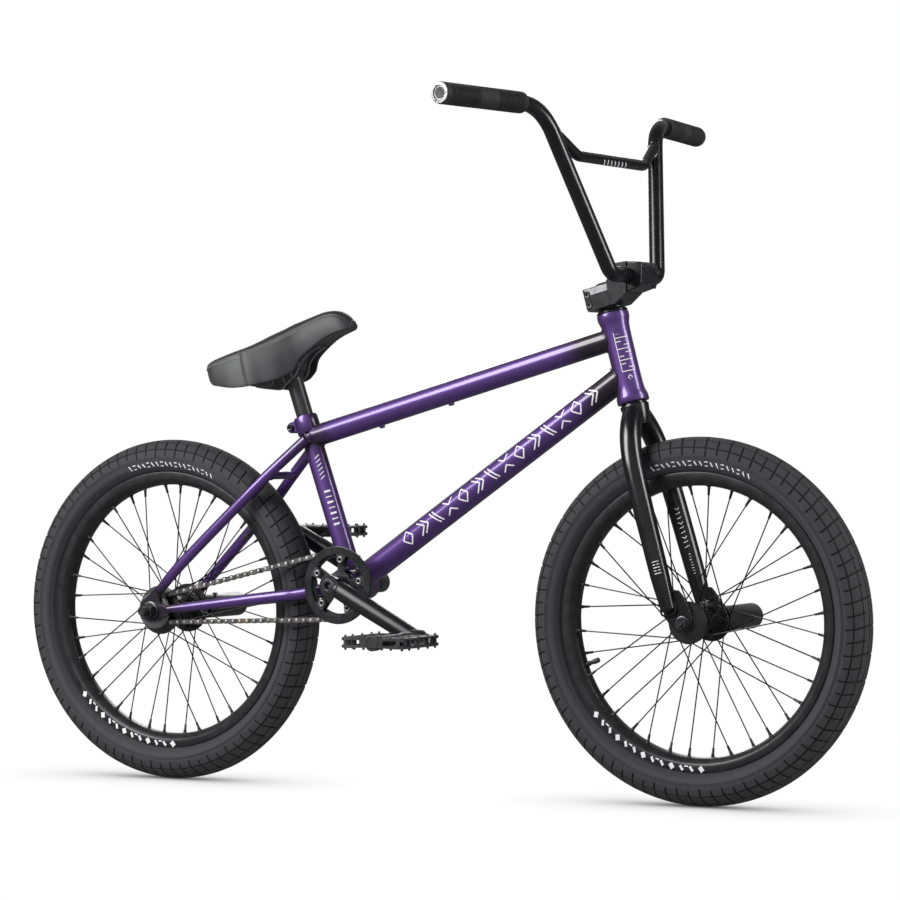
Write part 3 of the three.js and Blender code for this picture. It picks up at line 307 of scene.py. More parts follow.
# key: material name, two base colours, roughness range, metallic,
#      blotch scale, grain scale, bump strength, bump distance in metres, then extras
FINISHES = {
    "gloss": ("gloss_black", (0.0050, 0.0050, 0.0060), (0.008, 0.008, 0.0095), (0.22, 0.27), 0.0,
              40, 1800, 0.0, 0.0001, dict(coat_rough=0.14, specular=0.75)),
    "satin": ("satin_black", (0.009, 0.009, 0.010), (0.015, 0.015, 0.0165), (0.30, 0.38), 0.15,
              55, 1600, 0.04, 0.0001, dict(wear=(0.08, 0.08, 0.085))),
    "anodised": ("anodised_black", (0.010, 0.010, 0.011), (0.018, 0.018, 0.020), (0.25, 0.34), 0.3,
                 70, 1900, 0.03, 0.0001, dict(coat_rough=0.25, wear=(0.10, 0.10, 0.11))),
    "rim": ("rim_black", (0.022, 0.022, 0.0235), (0.034, 0.034, 0.036), (0.28, 0.38), 0.35,
            60, 1500, 0.04, 0.0001, {}),
    "rubber": ("grip_rubber", (0.014, 0.014, 0.0145), (0.024, 0.024, 0.025), (0.6, 0.78), 0.0,
               120, 1300, 0.4, 0.0003, {}),
    "tube": ("tube_rubber", (0.012, 0.012, 0.012), (0.02, 0.02, 0.02), (0.6, 0.8), 0.0,
             90, 1200, 0.3, 0.0002, {}),
    "plastic": ("black_plastic", (0.018, 0.018, 0.0195), (0.028, 0.028, 0.03), (0.42, 0.56), 0.0,
                90, 1400, 0.22, 0.0002, dict(wear=(0.07, 0.07, 0.075))),
    "guard": ("guard_plastic", (0.018, 0.018, 0.019), (0.028, 0.028, 0.030), (0.34, 0.46), 0.0,
              60, 1200, 0.12, 0.0002, {}),
    "guard_rear": ("guard_grey", (0.10, 0.10, 0.105), (0.15, 0.15, 0.155), (0.34, 0.46), 0.4,
                   60, 1200, 0.12, 0.0002, {}),
    "edge": ("moulded_edge", (0.09, 0.09, 0.095), (0.14, 0.14, 0.145), (0.3, 0.42), 0.0,
             90, 1400, 0.1, 0.0002, {}),
    "piping": ("saddle_piping", (0.13, 0.13, 0.13), (0.18, 0.18, 0.18), (0.4, 0.55), 0.0,
               200, 2500, 0.3, 0.0002, {}),
    "steel": ("steel", (0.44, 0.45, 0.47), (0.58, 0.59, 0.61), (0.22, 0.36), 1.0,
              90, 1500, 0.1, 0.0001, dict(stretch=(1, 6, 1))),
    "dark": ("dark_steel", (0.055, 0.055, 0.06), (0.095, 0.095, 0.10), (0.28, 0.42), 0.9,
             110, 1500, 0.12, 0.0001, dict(wear=(0.30, 0.30, 0.31))),
    "bolt": ("bolt_grey", (0.26, 0.26, 0.265), (0.38, 0.38, 0.385), (0.3, 0.45), 0.85,
             160, 1500, 0.12, 0.0001, {}),
    "pin": ("chain_pin", (0.72, 0.71, 0.69), (0.88, 0.87, 0.85), (0.3, 0.5), 1.0,
            160, 1500, 0.1, 0.0001, {}),
    "link": ("chain_plate", (0.05, 0.049, 0.049), (0.10, 0.098, 0.096), (0.28, 0.42), 0.8,
             130, 1400, 0.12, 0.0001, dict(wear=(0.38, 0.37, 0.36))),
    "gold": ("chain_gold_link", (0.50, 0.40, 0.24), (0.62, 0.52, 0.33), (0.25, 0.36), 1.0,
             130, 1400, 0.1, 0.0001, {}),
    "white": ("white_mark", (0.72, 0.71, 0.74), (0.80, 0.79, 0.82), (0.35, 0.5), 0.0,
              60, 1200, 0.05, 0.0001, dict(coat=0.2)),
    "spoke": ("spoke_black", (0.018, 0.018, 0.02), (0.03, 0.03, 0.032), (0.26, 0.36), 0.8,
              80, 1500, 0.06, 0.0001, {}),
}
MATERIALS = {key: finish_material(*row[:-1], **row[-1]) for key, row in FINISHES.items()}
MATERIALS.update({
    "paint": paint_material(),
    "tyre": tyre_material(),
    "cover": leather_material("saddle_cover", (0.012, 0.012, 0.014), (0.021, 0.021, 0.024)),
    # the top's cover: the same leather in a darker copy, painted shade on the top
    "top_painted_shade": leather_material("saddle_cover_top", (0.007, 0.007, 0.008), (0.012, 0.012, 0.013)),
    "tail": leather_material("saddle_tail_cover", (0.024, 0.026, 0.025), (0.036, 0.038, 0.036)),
})


# ---------------------------------------------------------------- mesh builder
class Mesh:
    """Gathers shapes, each a pair of points and faces, into one object.

    place maps every point; fade is a number, or a function of the placed point.
    """

    def __init__(self, place=None, fade=0.0):
        self.place, self.fade = place, fade
        self.points, self.faces, self.slots, self.fades = [], [], [], []

    def add(self, shape, slot=0, fade=None):
        """slot and fade may also be lists, one entry for each face or point."""
        points, faces = shape
        if self.place:
            points = [self.place(p) for p in points]
        if fade is None:
            fade = self.fade
        if callable(fade):
            fade = [fade(np.array(p)) for p in points]
        first = len(self.points)
        self.points += [tuple(map(float, p)) for p in points]
        self.faces += [tuple(first + i for i in face) for face in faces]
        self.slots += slot if isinstance(slot, list) else [slot] * len(faces)
        self.fades += fade if isinstance(fade, list) else [fade] * len(points)
        return self

    def build(self, name, body, slot, materials, replaces=(), sharp=35,
              bevel=0, bevel_angle=35, segments=2, subsurf=0):
        """materials is a key of MATERIALS or a list of them; angles in degrees."""
        mesh = bpy.data.meshes.new(name)
        mesh.from_pydata([(x / 1000, y / 1000, z / 1000) for x, y, z in self.points], [], self.faces)
        mesh.update()
        work = bmesh.new()
        work.from_mesh(mesh)
        bmesh.ops.recalc_face_normals(work, faces=work.faces)
        work.to_mesh(mesh)
        work.free()
        for key in materials if isinstance(materials, list) else [materials]:
            mesh.materials.append(MATERIALS[key])
        mesh.polygons.foreach_set("material_index", self.slots)
        mesh.polygons.foreach_set("use_smooth", [True] * len(mesh.polygons))
        if any(self.fades):
            attribute = mesh.attributes.new("fade", "FLOAT", "POINT")
            attribute.data.foreach_set("value", np.array(self.fades, np.float32))
        mesh.set_sharp_from_angle(angle=radians(sharp))
        ob = bpy.data.objects.new(name, mesh)
        scene.collection.objects.link(ob)
        if bevel:
            modifier = ob.modifiers.new("bevel", "BEVEL")
            modifier.width, modifier.segments = bevel / 1000, segments
            modifier.limit_method, modifier.angle_limit = "ANGLE", radians(bevel_angle)
            modifier.harden_normals = False
        if subsurf:
            modifier = ob.modifiers.new("subsurf", "SUBSURF")
            modifier.levels = modifier.render_levels = subsurf
        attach(ob, body)
        if replaces:
            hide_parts(*replaces)


# ---------------------------------------------------------------- shapes
def basis(axis, hint=None):
    """Unit axis and two directions across it; the first leans to hint."""
    axis = unit(axis)
    if hint is None:
        hint = UP if abs(axis[2]) < 0.9 else AHEAD
    across = unit(np.cross(axis, np.cross(hint, axis)))
    return axis, across, np.cross(axis, across)


def band(low, high, count, shift=0):
    """Quads joining two rings of count points that start at low and high."""
    return [
        [low + k, low + (k + 1) % count, high + (k + 1 + shift) % count, high + (k + shift) % count]
        for k in range(count)
    ]


def lathe(profile, origin=ORIGIN, axis=LEFT, seg=48, hint=None, start=0.0, end=2 * pi):
    """Body turned from (radius, height) points.

    A profile that starts at radius 0 runs from axis to axis; any other closes on itself.
    """
    axis, across, side = basis(axis, hint)
    full = abs(end - start - 2 * pi) < 1e-6
    solid = profile[0][0] == 0
    n, columns = len(profile), seg if full else seg + 1
    points = []
    for k in range(columns):
        t = start + (end - start) * k / seg
        for r, h in profile:
            points.append(origin + axis * h + (across * cos(t) + side * sin(t)) * r)
    faces = []
    for k in range(seg):
        k2 = (k + 1) % columns
        for i in range(n - 1 if solid else n):
            j = (i + 1) % n
            faces.append([k * n + i, k2 * n + i, k2 * n + j, k * n + j])
    if solid:
        # points on the axis are merged, and their quads become triangles
        kept, index, number = [], {}, []
        for i, p in enumerate(points):
            key = tuple(np.round(p, 5)) if profile[i % n][0] < 1e-6 else i
            if key not in index:
                index[key] = len(kept)
                kept.append(p)
            number.append(index[key])
        merged = [list(dict.fromkeys(number[i] for i in face)) for face in faces]
        return kept, [face for face in merged if len(face) > 2]
    if not full:
        faces.append(list(range(n))[::-1])
        faces.append([seg * n + i for i in range(n)])
    return points, faces


def tube(path, radius, sides=24, closed=False, hint=None):
    """Round tube along points; radius is one number or one for each point."""
    n = len(path)
    radii = radius if hasattr(radius, "__len__") else [radius] * n
    tangents = []
    for i in range(n):
        tangent = np.zeros(3)
        if closed or i > 0:
            tangent += unit(path[i] - path[i - 1])
        if closed or i < n - 1:
            tangent += unit(path[(i + 1) % n] - path[i])
        tangents.append(unit(tangent))
    normal = basis(tangents[0], hint)[1]
    points = []
    for i, tangent in enumerate(tangents):
        if i:
            normal = unit(normal - tangent * np.dot(normal, tangent))
        side = np.cross(tangent, normal)
        for k in range(sides):
            a = 2 * pi * k / sides
            points.append(path[i] + radii[i] * (cos(a) * normal + sin(a) * side))
    faces = []
    for i in range(n - 1):
        faces += band(i * sides, (i + 1) * sides, sides)
    last = (n - 1) * sides
    if closed:
        # the last ring meets the first at its nearest point
        gaps = [np.linalg.norm(points[k] - points[last]) for k in range(sides)]
        faces += band(last, 0, sides, int(np.argmin(gaps)))
    else:
        faces.append(list(range(sides))[::-1])
        faces.append([last + k for k in range(sides)])
    return points, faces


def catmull(points, per=6):
    """Smooth curve through points, with per steps to a span."""
    points = [2 * points[0] - points[1]] + points + [2 * points[-1] - points[-2]]
    curve = []
    for i in range(1, len(points) - 2):
        a, b, c, d = points[i - 1 : i + 3]
        for k in range(per):
            t = k / per
            square, cube = 2 * a - 5 * b + 4 * c - d, 3 * b - a - 3 * c + d
            curve.append(0.5 * (2 * b + (c - a) * t + square * t * t + cube * t**3))
    curve.append(points[-2])
    return curve


def rounded(points, radii, steps):
    """Line through points with an arc of the given radius at each inner corner."""
    path = [points[0]]
    for before, corner, after, radius in zip(points, points[1:], points[2:], radii):
        a, b = unit(before - corner), unit(after - corner)
        half = math.acos(max(-1, min(1, float(a @ b)))) / 2
        back = radius / math.tan(half)
        centre = corner + unit(a + b) * radius / sin(half)
        first, last = corner + a * back - centre, corner + b * back - centre
        sweep = math.acos(max(-1, min(1, float(unit(first) @ unit(last)))))
        for k in range(steps + 1):
            t = k / steps
            arm = first * sin((1 - t) * sweep) + last * sin(t * sweep)
            path.append(centre + arm / sin(sweep))
    path.append(points[-1])
    return path


def signed_area(loop):
    """Twice the area of an x-z loop, positive when it turns from x to z."""
    n = len(loop)
    return sum(
        loop[i][0] * loop[(i + 1) % n][1] - loop[(i + 1) % n][0] * loop[i][1] for i in range(n)
    )


def prism(outline, y0, y1, holes=()):
    """Plate from an x-z outline between y0 and y1."""
    loops = [list(outline)] + [list(h) for h in holes]
    for i, loop in enumerate(loops):
        if (signed_area(loop) > 0) != (i == 0):
            loop.reverse()
    points, faces, starts = [], [], []
    for loop in loops:
        starts.append(len(points))
        points += [vec(x, y0, z) for x, z in loop]
    n = len(points)
    points += [vec(p[0], y1, p[2]) for p in points[:n]]
    for start, loop in zip(starts, loops):
        for i in range(len(loop)):
            a, b = start + i, start + (i + 1) % len(loop)
            faces.append([a, a + n, b + n, b])
    if len(loops) == 1:
        faces.append(list(range(n)))
        faces.append([n + i for i in range(n)][::-1])
        return points, faces
    flat = [[Vector((x, z, 0)) for x, z in loop] for loop in loops]
    for triangle in tessellate_polygon(flat):
        triangle = list(triangle)
        if signed_area([points[i][[0, 2]] for i in triangle]) < 0:
            triangle.reverse()
        faces.append(triangle)
        faces.append([n + i for i in triangle][::-1])
    return points, faces


def block(centre, size):
    points = [
        np.array(centre, float) + np.array(size, float) / 2 * (dx, dy, dz)
        for dx in (-1, 1) for dy in (-1, 1) for dz in (-1, 1)
    ]
    return points, [[0, 1, 3, 2], [4, 6, 7, 5], [0, 4, 5, 1], [2, 3, 7, 6], [0, 2, 6, 4], [1, 5, 7, 3]]


def circle(cx, cz, r, n):
    return [(cx + r * cos(2 * pi * i / n), cz + r * sin(2 * pi * i / n)) for i in range(n)]


def stacked_rings(rings, origin, axis, seg, corner_limit=2.0):
    """Points of (radius, height, hexagonal) rings; a hexagon's radius is to its flats."""
    axis, across, side = basis(axis)
    points = []
    for radius, height, hexagonal in rings:
        for k in range(seg):
            t = 2 * pi * k / seg
            r = radius
            if hexagonal:
                r = min(radius / cos((t % (pi / 3)) - pi / 6), radius * corner_limit)
            points.append(origin + axis * height + (across * cos(t) + side * sin(t)) * r)
    return points


def socket_bolt(origin, axis, r, h, socket, depth, seg=24):
    """Bolt head with a hexagonal socket of corner radius socket; axis points out of it."""
    flats = socket * cos(pi / 6)
    rings = [
        (r * 0.96, 0, 0), (r, h * 0.12, 0), (r, h * 0.75, 0), (r * 0.93, h * 0.93, 0),
        (r * 0.84, h, 0), (socket * 1.12, h, 0), (flats, h - 0.3, 1), (flats, h - depth, 1),
    ]
    faces = []
    for i in range(len(rings) - 1):
        faces += band(i * seg, (i + 1) * seg, seg)
    faces.append(list(range(seg))[::-1])
    faces.append([(len(rings) - 1) * seg + k for k in range(seg)])
    return stacked_rings(rings, origin, axis, seg), faces


def hex_nut(origin, axis, across_flats, h, bore, flange, seg=48):
    """Chamfered hexagonal nut; flange is the radius of its round base, or 0."""
    r = across_flats / 2
    if flange:
        foot = [(bore, 0, 0), (flange - 0.4, 0, 0), (flange, 0.5, 0), (flange - 0.3, 1.6, 0),
                (r * 1.16, 2.2, 0), (r, 2.4, 1)]
    else:
        foot = [(bore, 0, 0), (r * 0.98, 0, 0), (r, 0.8, 1)]
    rings = foot + [(r, h - 1.0, 1), (r * 0.97, h, 0), (bore + 0.7, h, 0), (bore, h - 0.7, 0)]
    faces = []
    for i in range(len(rings)):
        faces += band(i * seg, (i + 1) % len(rings) * seg, seg)
    return stacked_rings(rings, origin, axis, seg, 1.135), faces


def bead(start, end, radius, other0, other1, other_radius, size, n=72):
    """Rippled weld where a tube from start to end enters the tube along other0-other1."""
    along, across, side = basis(end - start)
    other = unit(other1 - other0)
    length = np.linalg.norm(end - start)
    flat = along - other * (along @ other)
    path = []
    for k in range(n):
        t = 2 * pi * k / n
        origin = start + radius * (cos(t) * across + sin(t) * side)
        gap = (origin - other0) - other * ((origin - other0) @ other)
        a, b, c = flat @ flat, 2 * gap @ flat, gap @ gap - other_radius * other_radius
        root = b * b - 4 * a * c
        distance = (-b - math.sqrt(root)) / (2 * a) if root > 0 else -b / (2 * a)
        path.append(origin + along * min(distance, length))
    radii = [size * (1 + 0.16 * sin(k * 2 * pi * 26 / n)) for k in range(n)]
    return tube(path, radii, 8, closed=True)


def joined(*points):
    """Line segments from each point to the next."""
    return list(zip(points, points[1:]))


def strokes(surface, lines, width, lift=0.22, sink=0.3, cut=3.0):
    """Thin slabs laid on a surface along lines given in (s, w).

    surface(s, w, h) maps a position along, across and above it; cut is the longest step.
    """
    points, faces = [], []
    for (s0, w0), (s1, w1) in lines:
        way = np.array([s1 - s0, w1 - w0], float)
        length = np.linalg.norm(way)
        way /= length
        across = np.array([-way[1], way[0]])
        k, m = max(1, int(length / cut)), max(1, int(width / cut))
        base = len(points)
        for h in (lift, -sink):
            for i in range(k + 1):
                for j in range(m + 1):
                    s, w = [s0, w0] + way * length * i / k + across * width * (j / m - 0.5)
                    points.append(surface(s, w, h))
        row, layer = m + 1, (k + 1) * (m + 1)

        def wall(a, step, flip):
            quad = [a, a + layer, a + layer + step, a + step]
            faces.append(quad[::-1] if flip else quad)

        for i in range(k):
            for j in range(m):
                a = base + i * row + j
                b = a + layer
                faces.append([a, a + row, a + row + 1, a + 1])
                faces.append([b, b + 1, b + row + 1, b + row])
        for i in range(k):
            wall(base + i * row, row, False)
            wall(base + i * row + m, row, True)
        for j in range(m):
            wall(base + j, 1, True)
            wall(base + k * row + j, 1, False)
    return points, faces


def on_tube(start, end, radius, face):
    """Surface for strokes(): s along the tube, w round it from the direction face."""
    along, across, side = basis(end - start, face)

    def surface(s, w, h):
        a = w / radius
        return start + along * s + (radius + h) * (cos(a) * across + sin(a) * side)
    return surface


def on_disc(centre, side, radius, height):
    """Surface for strokes(): s round a wheel's side, w outward; height(w) is its half width."""
    def surface(s, w, h):
        a = s / radius
        return vec(centre[0] + (radius + w) * cos(a), side * (height(w) + h),
                   centre[2] + (radius + w) * sin(a))
    return surface


# ---------------------------------------------------------------- frame
TOP_REAR, TOP_FRONT = on_seat(230), vec(319.3, 0, 659.6)
DOWN_FRONT = vec(332.8, 0, 607.6)
TOP_R, DOWN_R, SEAT_R, SHELL_R, HEAD_R = 16.3, 18.2, 15.0, 24, 19.3
SEAT_STAY_R, CHAIN_STAY_R = 8.0, 8.5
SEAT_STAY = [(-193, 19, 517), (-254, 37.5, 460), (-300, 48, 415), (-391, 58.3, 330),
             (-431, 58.2, 290)]
CHAIN_STAY = [(-128, 20, 300), (-165, 27, 293.5), (-200, 37, 287), (-240, 44.5, 282.5),
              (-415, 59, 261.6)]
# tubes that join the two stays: x, z, half length, radius, y of the weld
BRIDGES = [(-248, 464, 33, 6.5, 30.5), (-196, 288, 34, 6.0, 28.0)]


def paint_fade(p):
    """How far the paint fades to black: at the seat cluster, the rear axle and the shell."""
    along, behind = (p - SHELL) @ SEAT_UP, -(p - SHELL) @ SEAT_AHEAD
    fades = [
        0.88 * clamp01((62 - hypot(p[0] - REAR[0], p[2] - REAR[2])) / 30),
        0.5 * clamp01((44 - hypot(p[0] - SHELL[0], p[2] - SHELL[2])) / 16),
    ]
    if abs(behind) < 40:
        fades.append(0.62 * clamp01(1 - abs(along - 222) / 30))
    if behind < -14:
        fades.append(0.85 * clamp01((46 + behind) / 26) * clamp01((along - 150) / 40))
    if behind > 14:
        fades.append(0.45 * clamp01((60 - behind) / 40) * clamp01((along - 130) / 40))
    return max(fades)


def main_tube_fade(reach):
    """Paint fade with the black that starts this far behind the head tube's axis."""
    def fade(p):
        return max(paint_fade(p), 0.95 * clamp01((reach + (p - HEAD_FOOT) @ HEAD_AHEAD) / 36))
    return fade


def head_fade(p):
    """The head tube darkens at its rims and behind, where the tubes meet it."""
    along, ahead = (p - HEAD_FOOT) @ HEAD_UP, (p - HEAD_FOOT) @ HEAD_AHEAD
    return max(
        0.4 * clamp01((5 - along) / 4),
        0.25 * clamp01((along - HEAD_LENGTH + 6) / 4),
        0.85 * clamp01((-ahead - 4) / 12) * clamp01((along - 8) / 14)
        * clamp01((HEAD_LENGTH - 8 - along) / 14),
    )


def divided(start, end, n):
    return [start + (end - start) * i / n for i in range(n + 1)]


# head tube: radius, height
HEAD_PROFILE = [
    (15.7, 0.2), (21.6, 0), (22.6, 0.5), (23, 1.4), (23, 7.5), (22.7, 9.5), (21.4, 13.5),
    (20.2, 18), (19.6, 26), (HEAD_R, 45), (HEAD_R, 86), (19.6, 105), (20.2, 113), (21.4, 118),
    (22.7, 122), (23, 124), (23, 130), (22.6, 130.9), (21.6, HEAD_LENGTH),
    (15.7, HEAD_LENGTH - 0.2),
]
COLLAR_PROFILE = [(13.4, 236), (17.2, 236), (18.2, 237.2), (18.2, 261.6), (17.4, 263), (13.4, 263)]
SHELL_PROFILE = [(20.9, -34), (23.2, -34), (SHELL_R, -33.2), (SHELL_R, 33.2), (23.2, 34), (20.9, 34)]
tubes = Mesh(fade=paint_fade)
tubes.add(lathe(HEAD_PROFILE, HEAD_FOOT, HEAD_UP, 64), fade=head_fade)
tubes.add(tube(divided(TOP_REAR, TOP_FRONT, 60), TOP_R, 40), fade=main_tube_fade(92))
tubes.add(tube(divided(SHELL, DOWN_FRONT, 60), DOWN_R, 44), fade=main_tube_fade(84))
tubes.add(tube(divided(SHELL, on_seat(239), 40), SEAT_R, 36))
tubes.add(lathe(COLLAR_PROFILE, SHELL, SEAT_UP, 48, -SEAT_AHEAD, radians(5), radians(355)))
tubes.add(lathe(SHELL_PROFILE, SHELL, LEFT, 56))
for side in (-1, 1):
    # each stay tapers from a given share of its length: radius, share, narrowing
    for points, radius, begin, narrowing in (
        (SEAT_STAY, SEAT_STAY_R, 0.75, 1.17), (CHAIN_STAY, CHAIN_STAY_R, 0.82, 2.3)
    ):
        path = catmull(mirror(points, side), 8)
        shares = [i / (len(path) - 1) for i in range(len(path))]
        radii = [radius - narrowing * max(0, share - begin) / (1 - begin) for share in shares]
        tubes.add(tube(path, radii, 26))
for x, z, half, radius, _ in BRIDGES:
    tubes.add(tube([vec(x, -half, z), vec(x, half, z)], radius))
# hollow bosses under the top tube, at two places along x
for x in (-76.0, 42.0):
    share = (x - TOP_REAR[0]) / (TOP_FRONT[0] - TOP_REAR[0])
    boss = [(0, 0), (4.4, 0), (4.4, TOP_R + 2.2), (3.4, TOP_R + 3.2), (2.2, TOP_R + 3.2),
            (2.2, TOP_R + 1.0), (0, TOP_R + 1.0)]
    centre = TOP_REAR + (TOP_FRONT - TOP_REAR) * share
    tubes.add(lathe(boss, centre, np.cross(LEFT, TOP_FRONT - TOP_REAR), 20), fade=0.35)
tubes.build("frame_tubes", "frame", "frame_paint", "paint", ["frame"], 40)

shell_axis = (SHELL, SHELL + LEFT, SHELL_R)
welds = Mesh(fade=0.9)
welds.add(bead(TOP_REAR, TOP_FRONT, TOP_R, HEAD_FOOT, HEAD_TOP, 19.7, 2.0))
welds.add(bead(SHELL, DOWN_FRONT, DOWN_R, HEAD_FOOT, HEAD_TOP, 19.9, 2.1))
welds.add(bead(TOP_FRONT, TOP_REAR, TOP_R, SHELL, on_seat(240), SEAT_R + 0.2, 1.9))
welds.add(bead(DOWN_FRONT, SHELL, DOWN_R, *shell_axis, 2.0))
welds.add(bead(on_seat(200), SHELL, SEAT_R, *shell_axis, 1.9))
for side in (-1, 1):
    end, start = mirror(SEAT_STAY, side)[:2]
    end = end + unit(end - start) * 30
    welds.add(bead(start, end, SEAT_STAY_R, SHELL, on_seat(240), SEAT_R + 0.3, 1.5, 40))
    end, start = mirror(CHAIN_STAY, side)[:2]
    end = end + unit(end - start) * 26
    welds.add(bead(start, end, CHAIN_STAY_R, *shell_axis, 1.6, 40))
    for x, z, _, _, y in BRIDGES:
        ring = [vec(px, side * y, pz) for px, pz in circle(x, z, 6.6, 30)]
        welds.add(tube(ring, 1.3, 8, closed=True))
welds.build("frame_welds", "frame", "frame_paint", "paint", sharp=60)

# rear dropout from the axle: x, z, closed by the rounded slot
DROPOUT = [
    (-19, -7.5), (-18.2, -10.2), (-15.5, -12.9), (-8, -15.8), (-2, -16.6), (4, -16.4),
    (16, -13.5), (31, -7), (33.6, -2.5), (34, 2.5), (24, 7.5), (18.2, 10.6), (15.4, 14.6),
    (14.5, 21), (20, 33), (12, 38), (6, 32), (-2, 25), (-12, 17), (-17.6, 12.6), (-19, 7.5),
]
SLOT_R = 7.5
slot_end = [(SLOT_R * sin(radians(a)), SLOT_R * cos(radians(a))) for a in range(15, 180, 15)]
outline = DROPOUT + [(0, SLOT_R)] + slot_end + [(0, -SLOT_R)]
dropouts = Mesh(fade=0.95)
for side in (-1, 1):
    plate = [(REAR[0] + x, REAR[2] + z) for x, z in outline]
    dropouts.add(prism(plate, *span(side, 55.3, 61.7)))
    # domes that close the stays on the plate
    for points, r in ((SEAT_STAY, 6.8), (CHAIN_STAY, 6.2)):
        a, b = mirror(points, side)[3:]
        dome = [(0, -4), (r, -4), (r, 0), (r * 0.8, 3.6), (r * 0.45, 5.8), (0, 6.5)]
        dropouts.add(lathe(dome, b, b - a, 24), fade=0.85)
dropouts.build("frame_dropouts", "frame", "frame_paint", "paint", sharp=30, bevel=0.7)

# two ears behind the seat collar, and the bolt through them
CLAMP_HEIGHT = 253.5
round_end = [(9.5 + 7.2 * cos(a), -0.4 + 8.0 * sin(a)) for a in np.linspace(-pi / 2, pi / 2, 12)]
EAR = [(-1, 7.6), (-1, -8.4), (8, -8.4)] + round_end + [(8, 7.6)]
ears = Mesh(lambda p: on_seat(CLAMP_HEIGHT + p[2], 14 + p[0], p[1]), fade=0.25)
for side in (-1, 1):
    ears.add(prism(EAR, *span(side, 1.4, 10.4)))
ears.build("seat_clamp_ears", "frame", "frame_paint", "paint", sharp=30, bevel=0.8)
centre = on_seat(CLAMP_HEIGHT, 23.5)
bolt = Mesh()
bolt.add(socket_bolt(centre + vec(0, -10.6, 0), -LEFT, r=5.0, h=4.4, socket=2.4, depth=2.64))
bolt.add(tube([centre + vec(0, -12, 0), centre + vec(0, 13.5, 0)], 2.9, 20))
bolt.add(lathe([(0, 10.8), (5, 10.8), (5, 13.9), (4.4, 14.5), (0, 14.5)], centre, LEFT, 24))
bolt.build("seat_bolt", "frame", "dark_steel", "dark", ["seat_clamp_bolt"], 30)

BEARING = [(10.3, 30), (20.6, 30), (20.6, 34.3), (19.6, 34.6), (18.9, 35.3), (12.2, 35.3),
           (11.6, 34.8), (10.3, 34.8)]
bearings = Mesh()
for side in (-1, 1):
    bearings.add(lathe(mirror_profile(BEARING, side), SHELL))
bearings.build("shell_bearings", "frame", "steel", "dark",
               ["bottom_bracket_bearing_right", "bottom_bracket_bearing_left"], 30)

# geometric marks: four motifs repeat along the down tube, as lines of (along, across)
MOTIFS = [
    [[(-9, 0), (0, 11), (9, 0), (0, -11), (-9, 0)]],
    [[(1, 11), (13, 0), (1, -11)], [(-7, 11), (5, 0), (-7, -11)]],
    [[(-9, -11), (3, 11)], [(-3, -11), (9, 11)]],
    [[(-9, -11), (0, -3), (9, -11)], [(-9, 11), (0, 3), (9, 11)]],
]
marks = Mesh()
surface = on_tube(SHELL, DOWN_FRONT, DOWN_R, vec(0.36, -0.9, 0.26))
for i in range(14):
    for line in MOTIFS[i % 4]:
        marks.add(strokes(surface, joined(*[(124 + i * 28 + s, w) for s, w in line]), 2.0))
surface = on_tube(HEAD_FOOT, HEAD_TOP, HEAD_R, vec(0.62, -0.78, 0))
for k in range(12):
    s = 44 + k * 5.4
    low, high = (-9.5, 9.5) if k % 3 == 0 else ((-9.5, -1.6), (1.6, 9.5))[k % 2]
    marks.add(strokes(surface, [((s, low), (s, high))], 1.15))
for w in (-9.5, 9.5):
    marks.add(strokes(surface, [((43.5, w), (104, w))], 0.95))
marks.add(strokes(surface, joined((31, 0), (34.5, 3.0), (38, 0), (34.5, -3.0), (31, 0)), 1.2))
surface = on_tube(SHELL, on_seat(239), SEAT_R, vec(0.5, -0.86, 0))
for k in range(7):
    s = 92 + k * 8.5
    marks.add(strokes(surface, [((s, -4.6), (s, 4.6))], 1.6 if k % 2 else 3.0))
for k in range(6):
    marks.add(strokes(surface, [((163 + k * 6.5, -3.6), (167 + k * 6.5, 3.6))], 1.3))
marks.build("frame_marks", "frame", "frame_paint", "white", sharp=30)


# ---------------------------------------------------------------- rear axle, nuts, peg, guard
def thread(r, low, high, pitch=1.6, depth=0.45):
    """Profile of thread ridges from low to high."""
    profile, h = [], low
    while h + pitch <= high:
        profile += [(r, h + 0.15 * pitch), (r, h + 0.35 * pitch),
                    (r - depth, h + 0.75 * pitch), (r - depth, h + 0.9 * pitch)]
        h += pitch
    return profile


def build_nut(end, side_name, body, nut, washer=None):
    nut.build(f"{end}_nut_{side_name}", body, "dark_steel", "dark",
              [f"{end}_axle_nut_{side_name}"], 30)


def build_peg(centre, start, bore, end, body):
    """Hollow peg that runs left from y = start."""
    r, tip = 18.5, start + 117
    profile = [
        (bore, start), (r - 1.6, start), (r - 0.5, start + 0.5), (r, start + 1.6),
        (r, tip - 2.6), (r - 0.5, tip - 1.0), (r - 1.6, tip), (16.2, tip), (15.6, tip - 0.8),
        (15.5, tip - 2), (15.5, start + 6), (bore, start + 6),
    ]
    peg = Mesh().add(lathe(profile, centre, LEFT, 64))
    peg.build("peg_" + end, body, "satin_black", "satin", [end + "_peg"], 32)


rod = [(0, -87), (5.6, -87), (6.6, -86.2)] + thread(6.9, -86, -62) + [(6.9, -61), (6.9, 60)]
rod += thread(6.9, 61, 83) + [(6.4, 83.4), (5.6, 84), (0, 84)]
axle = Mesh().add(lathe(rod, REAR, LEFT, 32))
axle.build("rear_axle_rod", "frame", "steel", "dark", ["rear_axle"], 30)
nut = Mesh().add(hex_nut(REAR + vec(0, -62.1, 0), -LEFT, 21, h=13.9, bore=7.15, flange=14.2))
nut.add(lathe([(7.3, -63.5), (12.4, -63.5), (13.0, -62.9), (13.0, -62.0), (7.3, -62.0)], REAR))
build_nut("rear", "right", "frame", nut)
nut = Mesh().add(hex_nut(REAR + vec(0, 68.5, 0), LEFT, 19, h=11.5, bore=7.15, flange=0))
build_nut("rear", "left", "frame", nut)
build_peg(REAR, 62.2, 7.2, "rear", "frame")
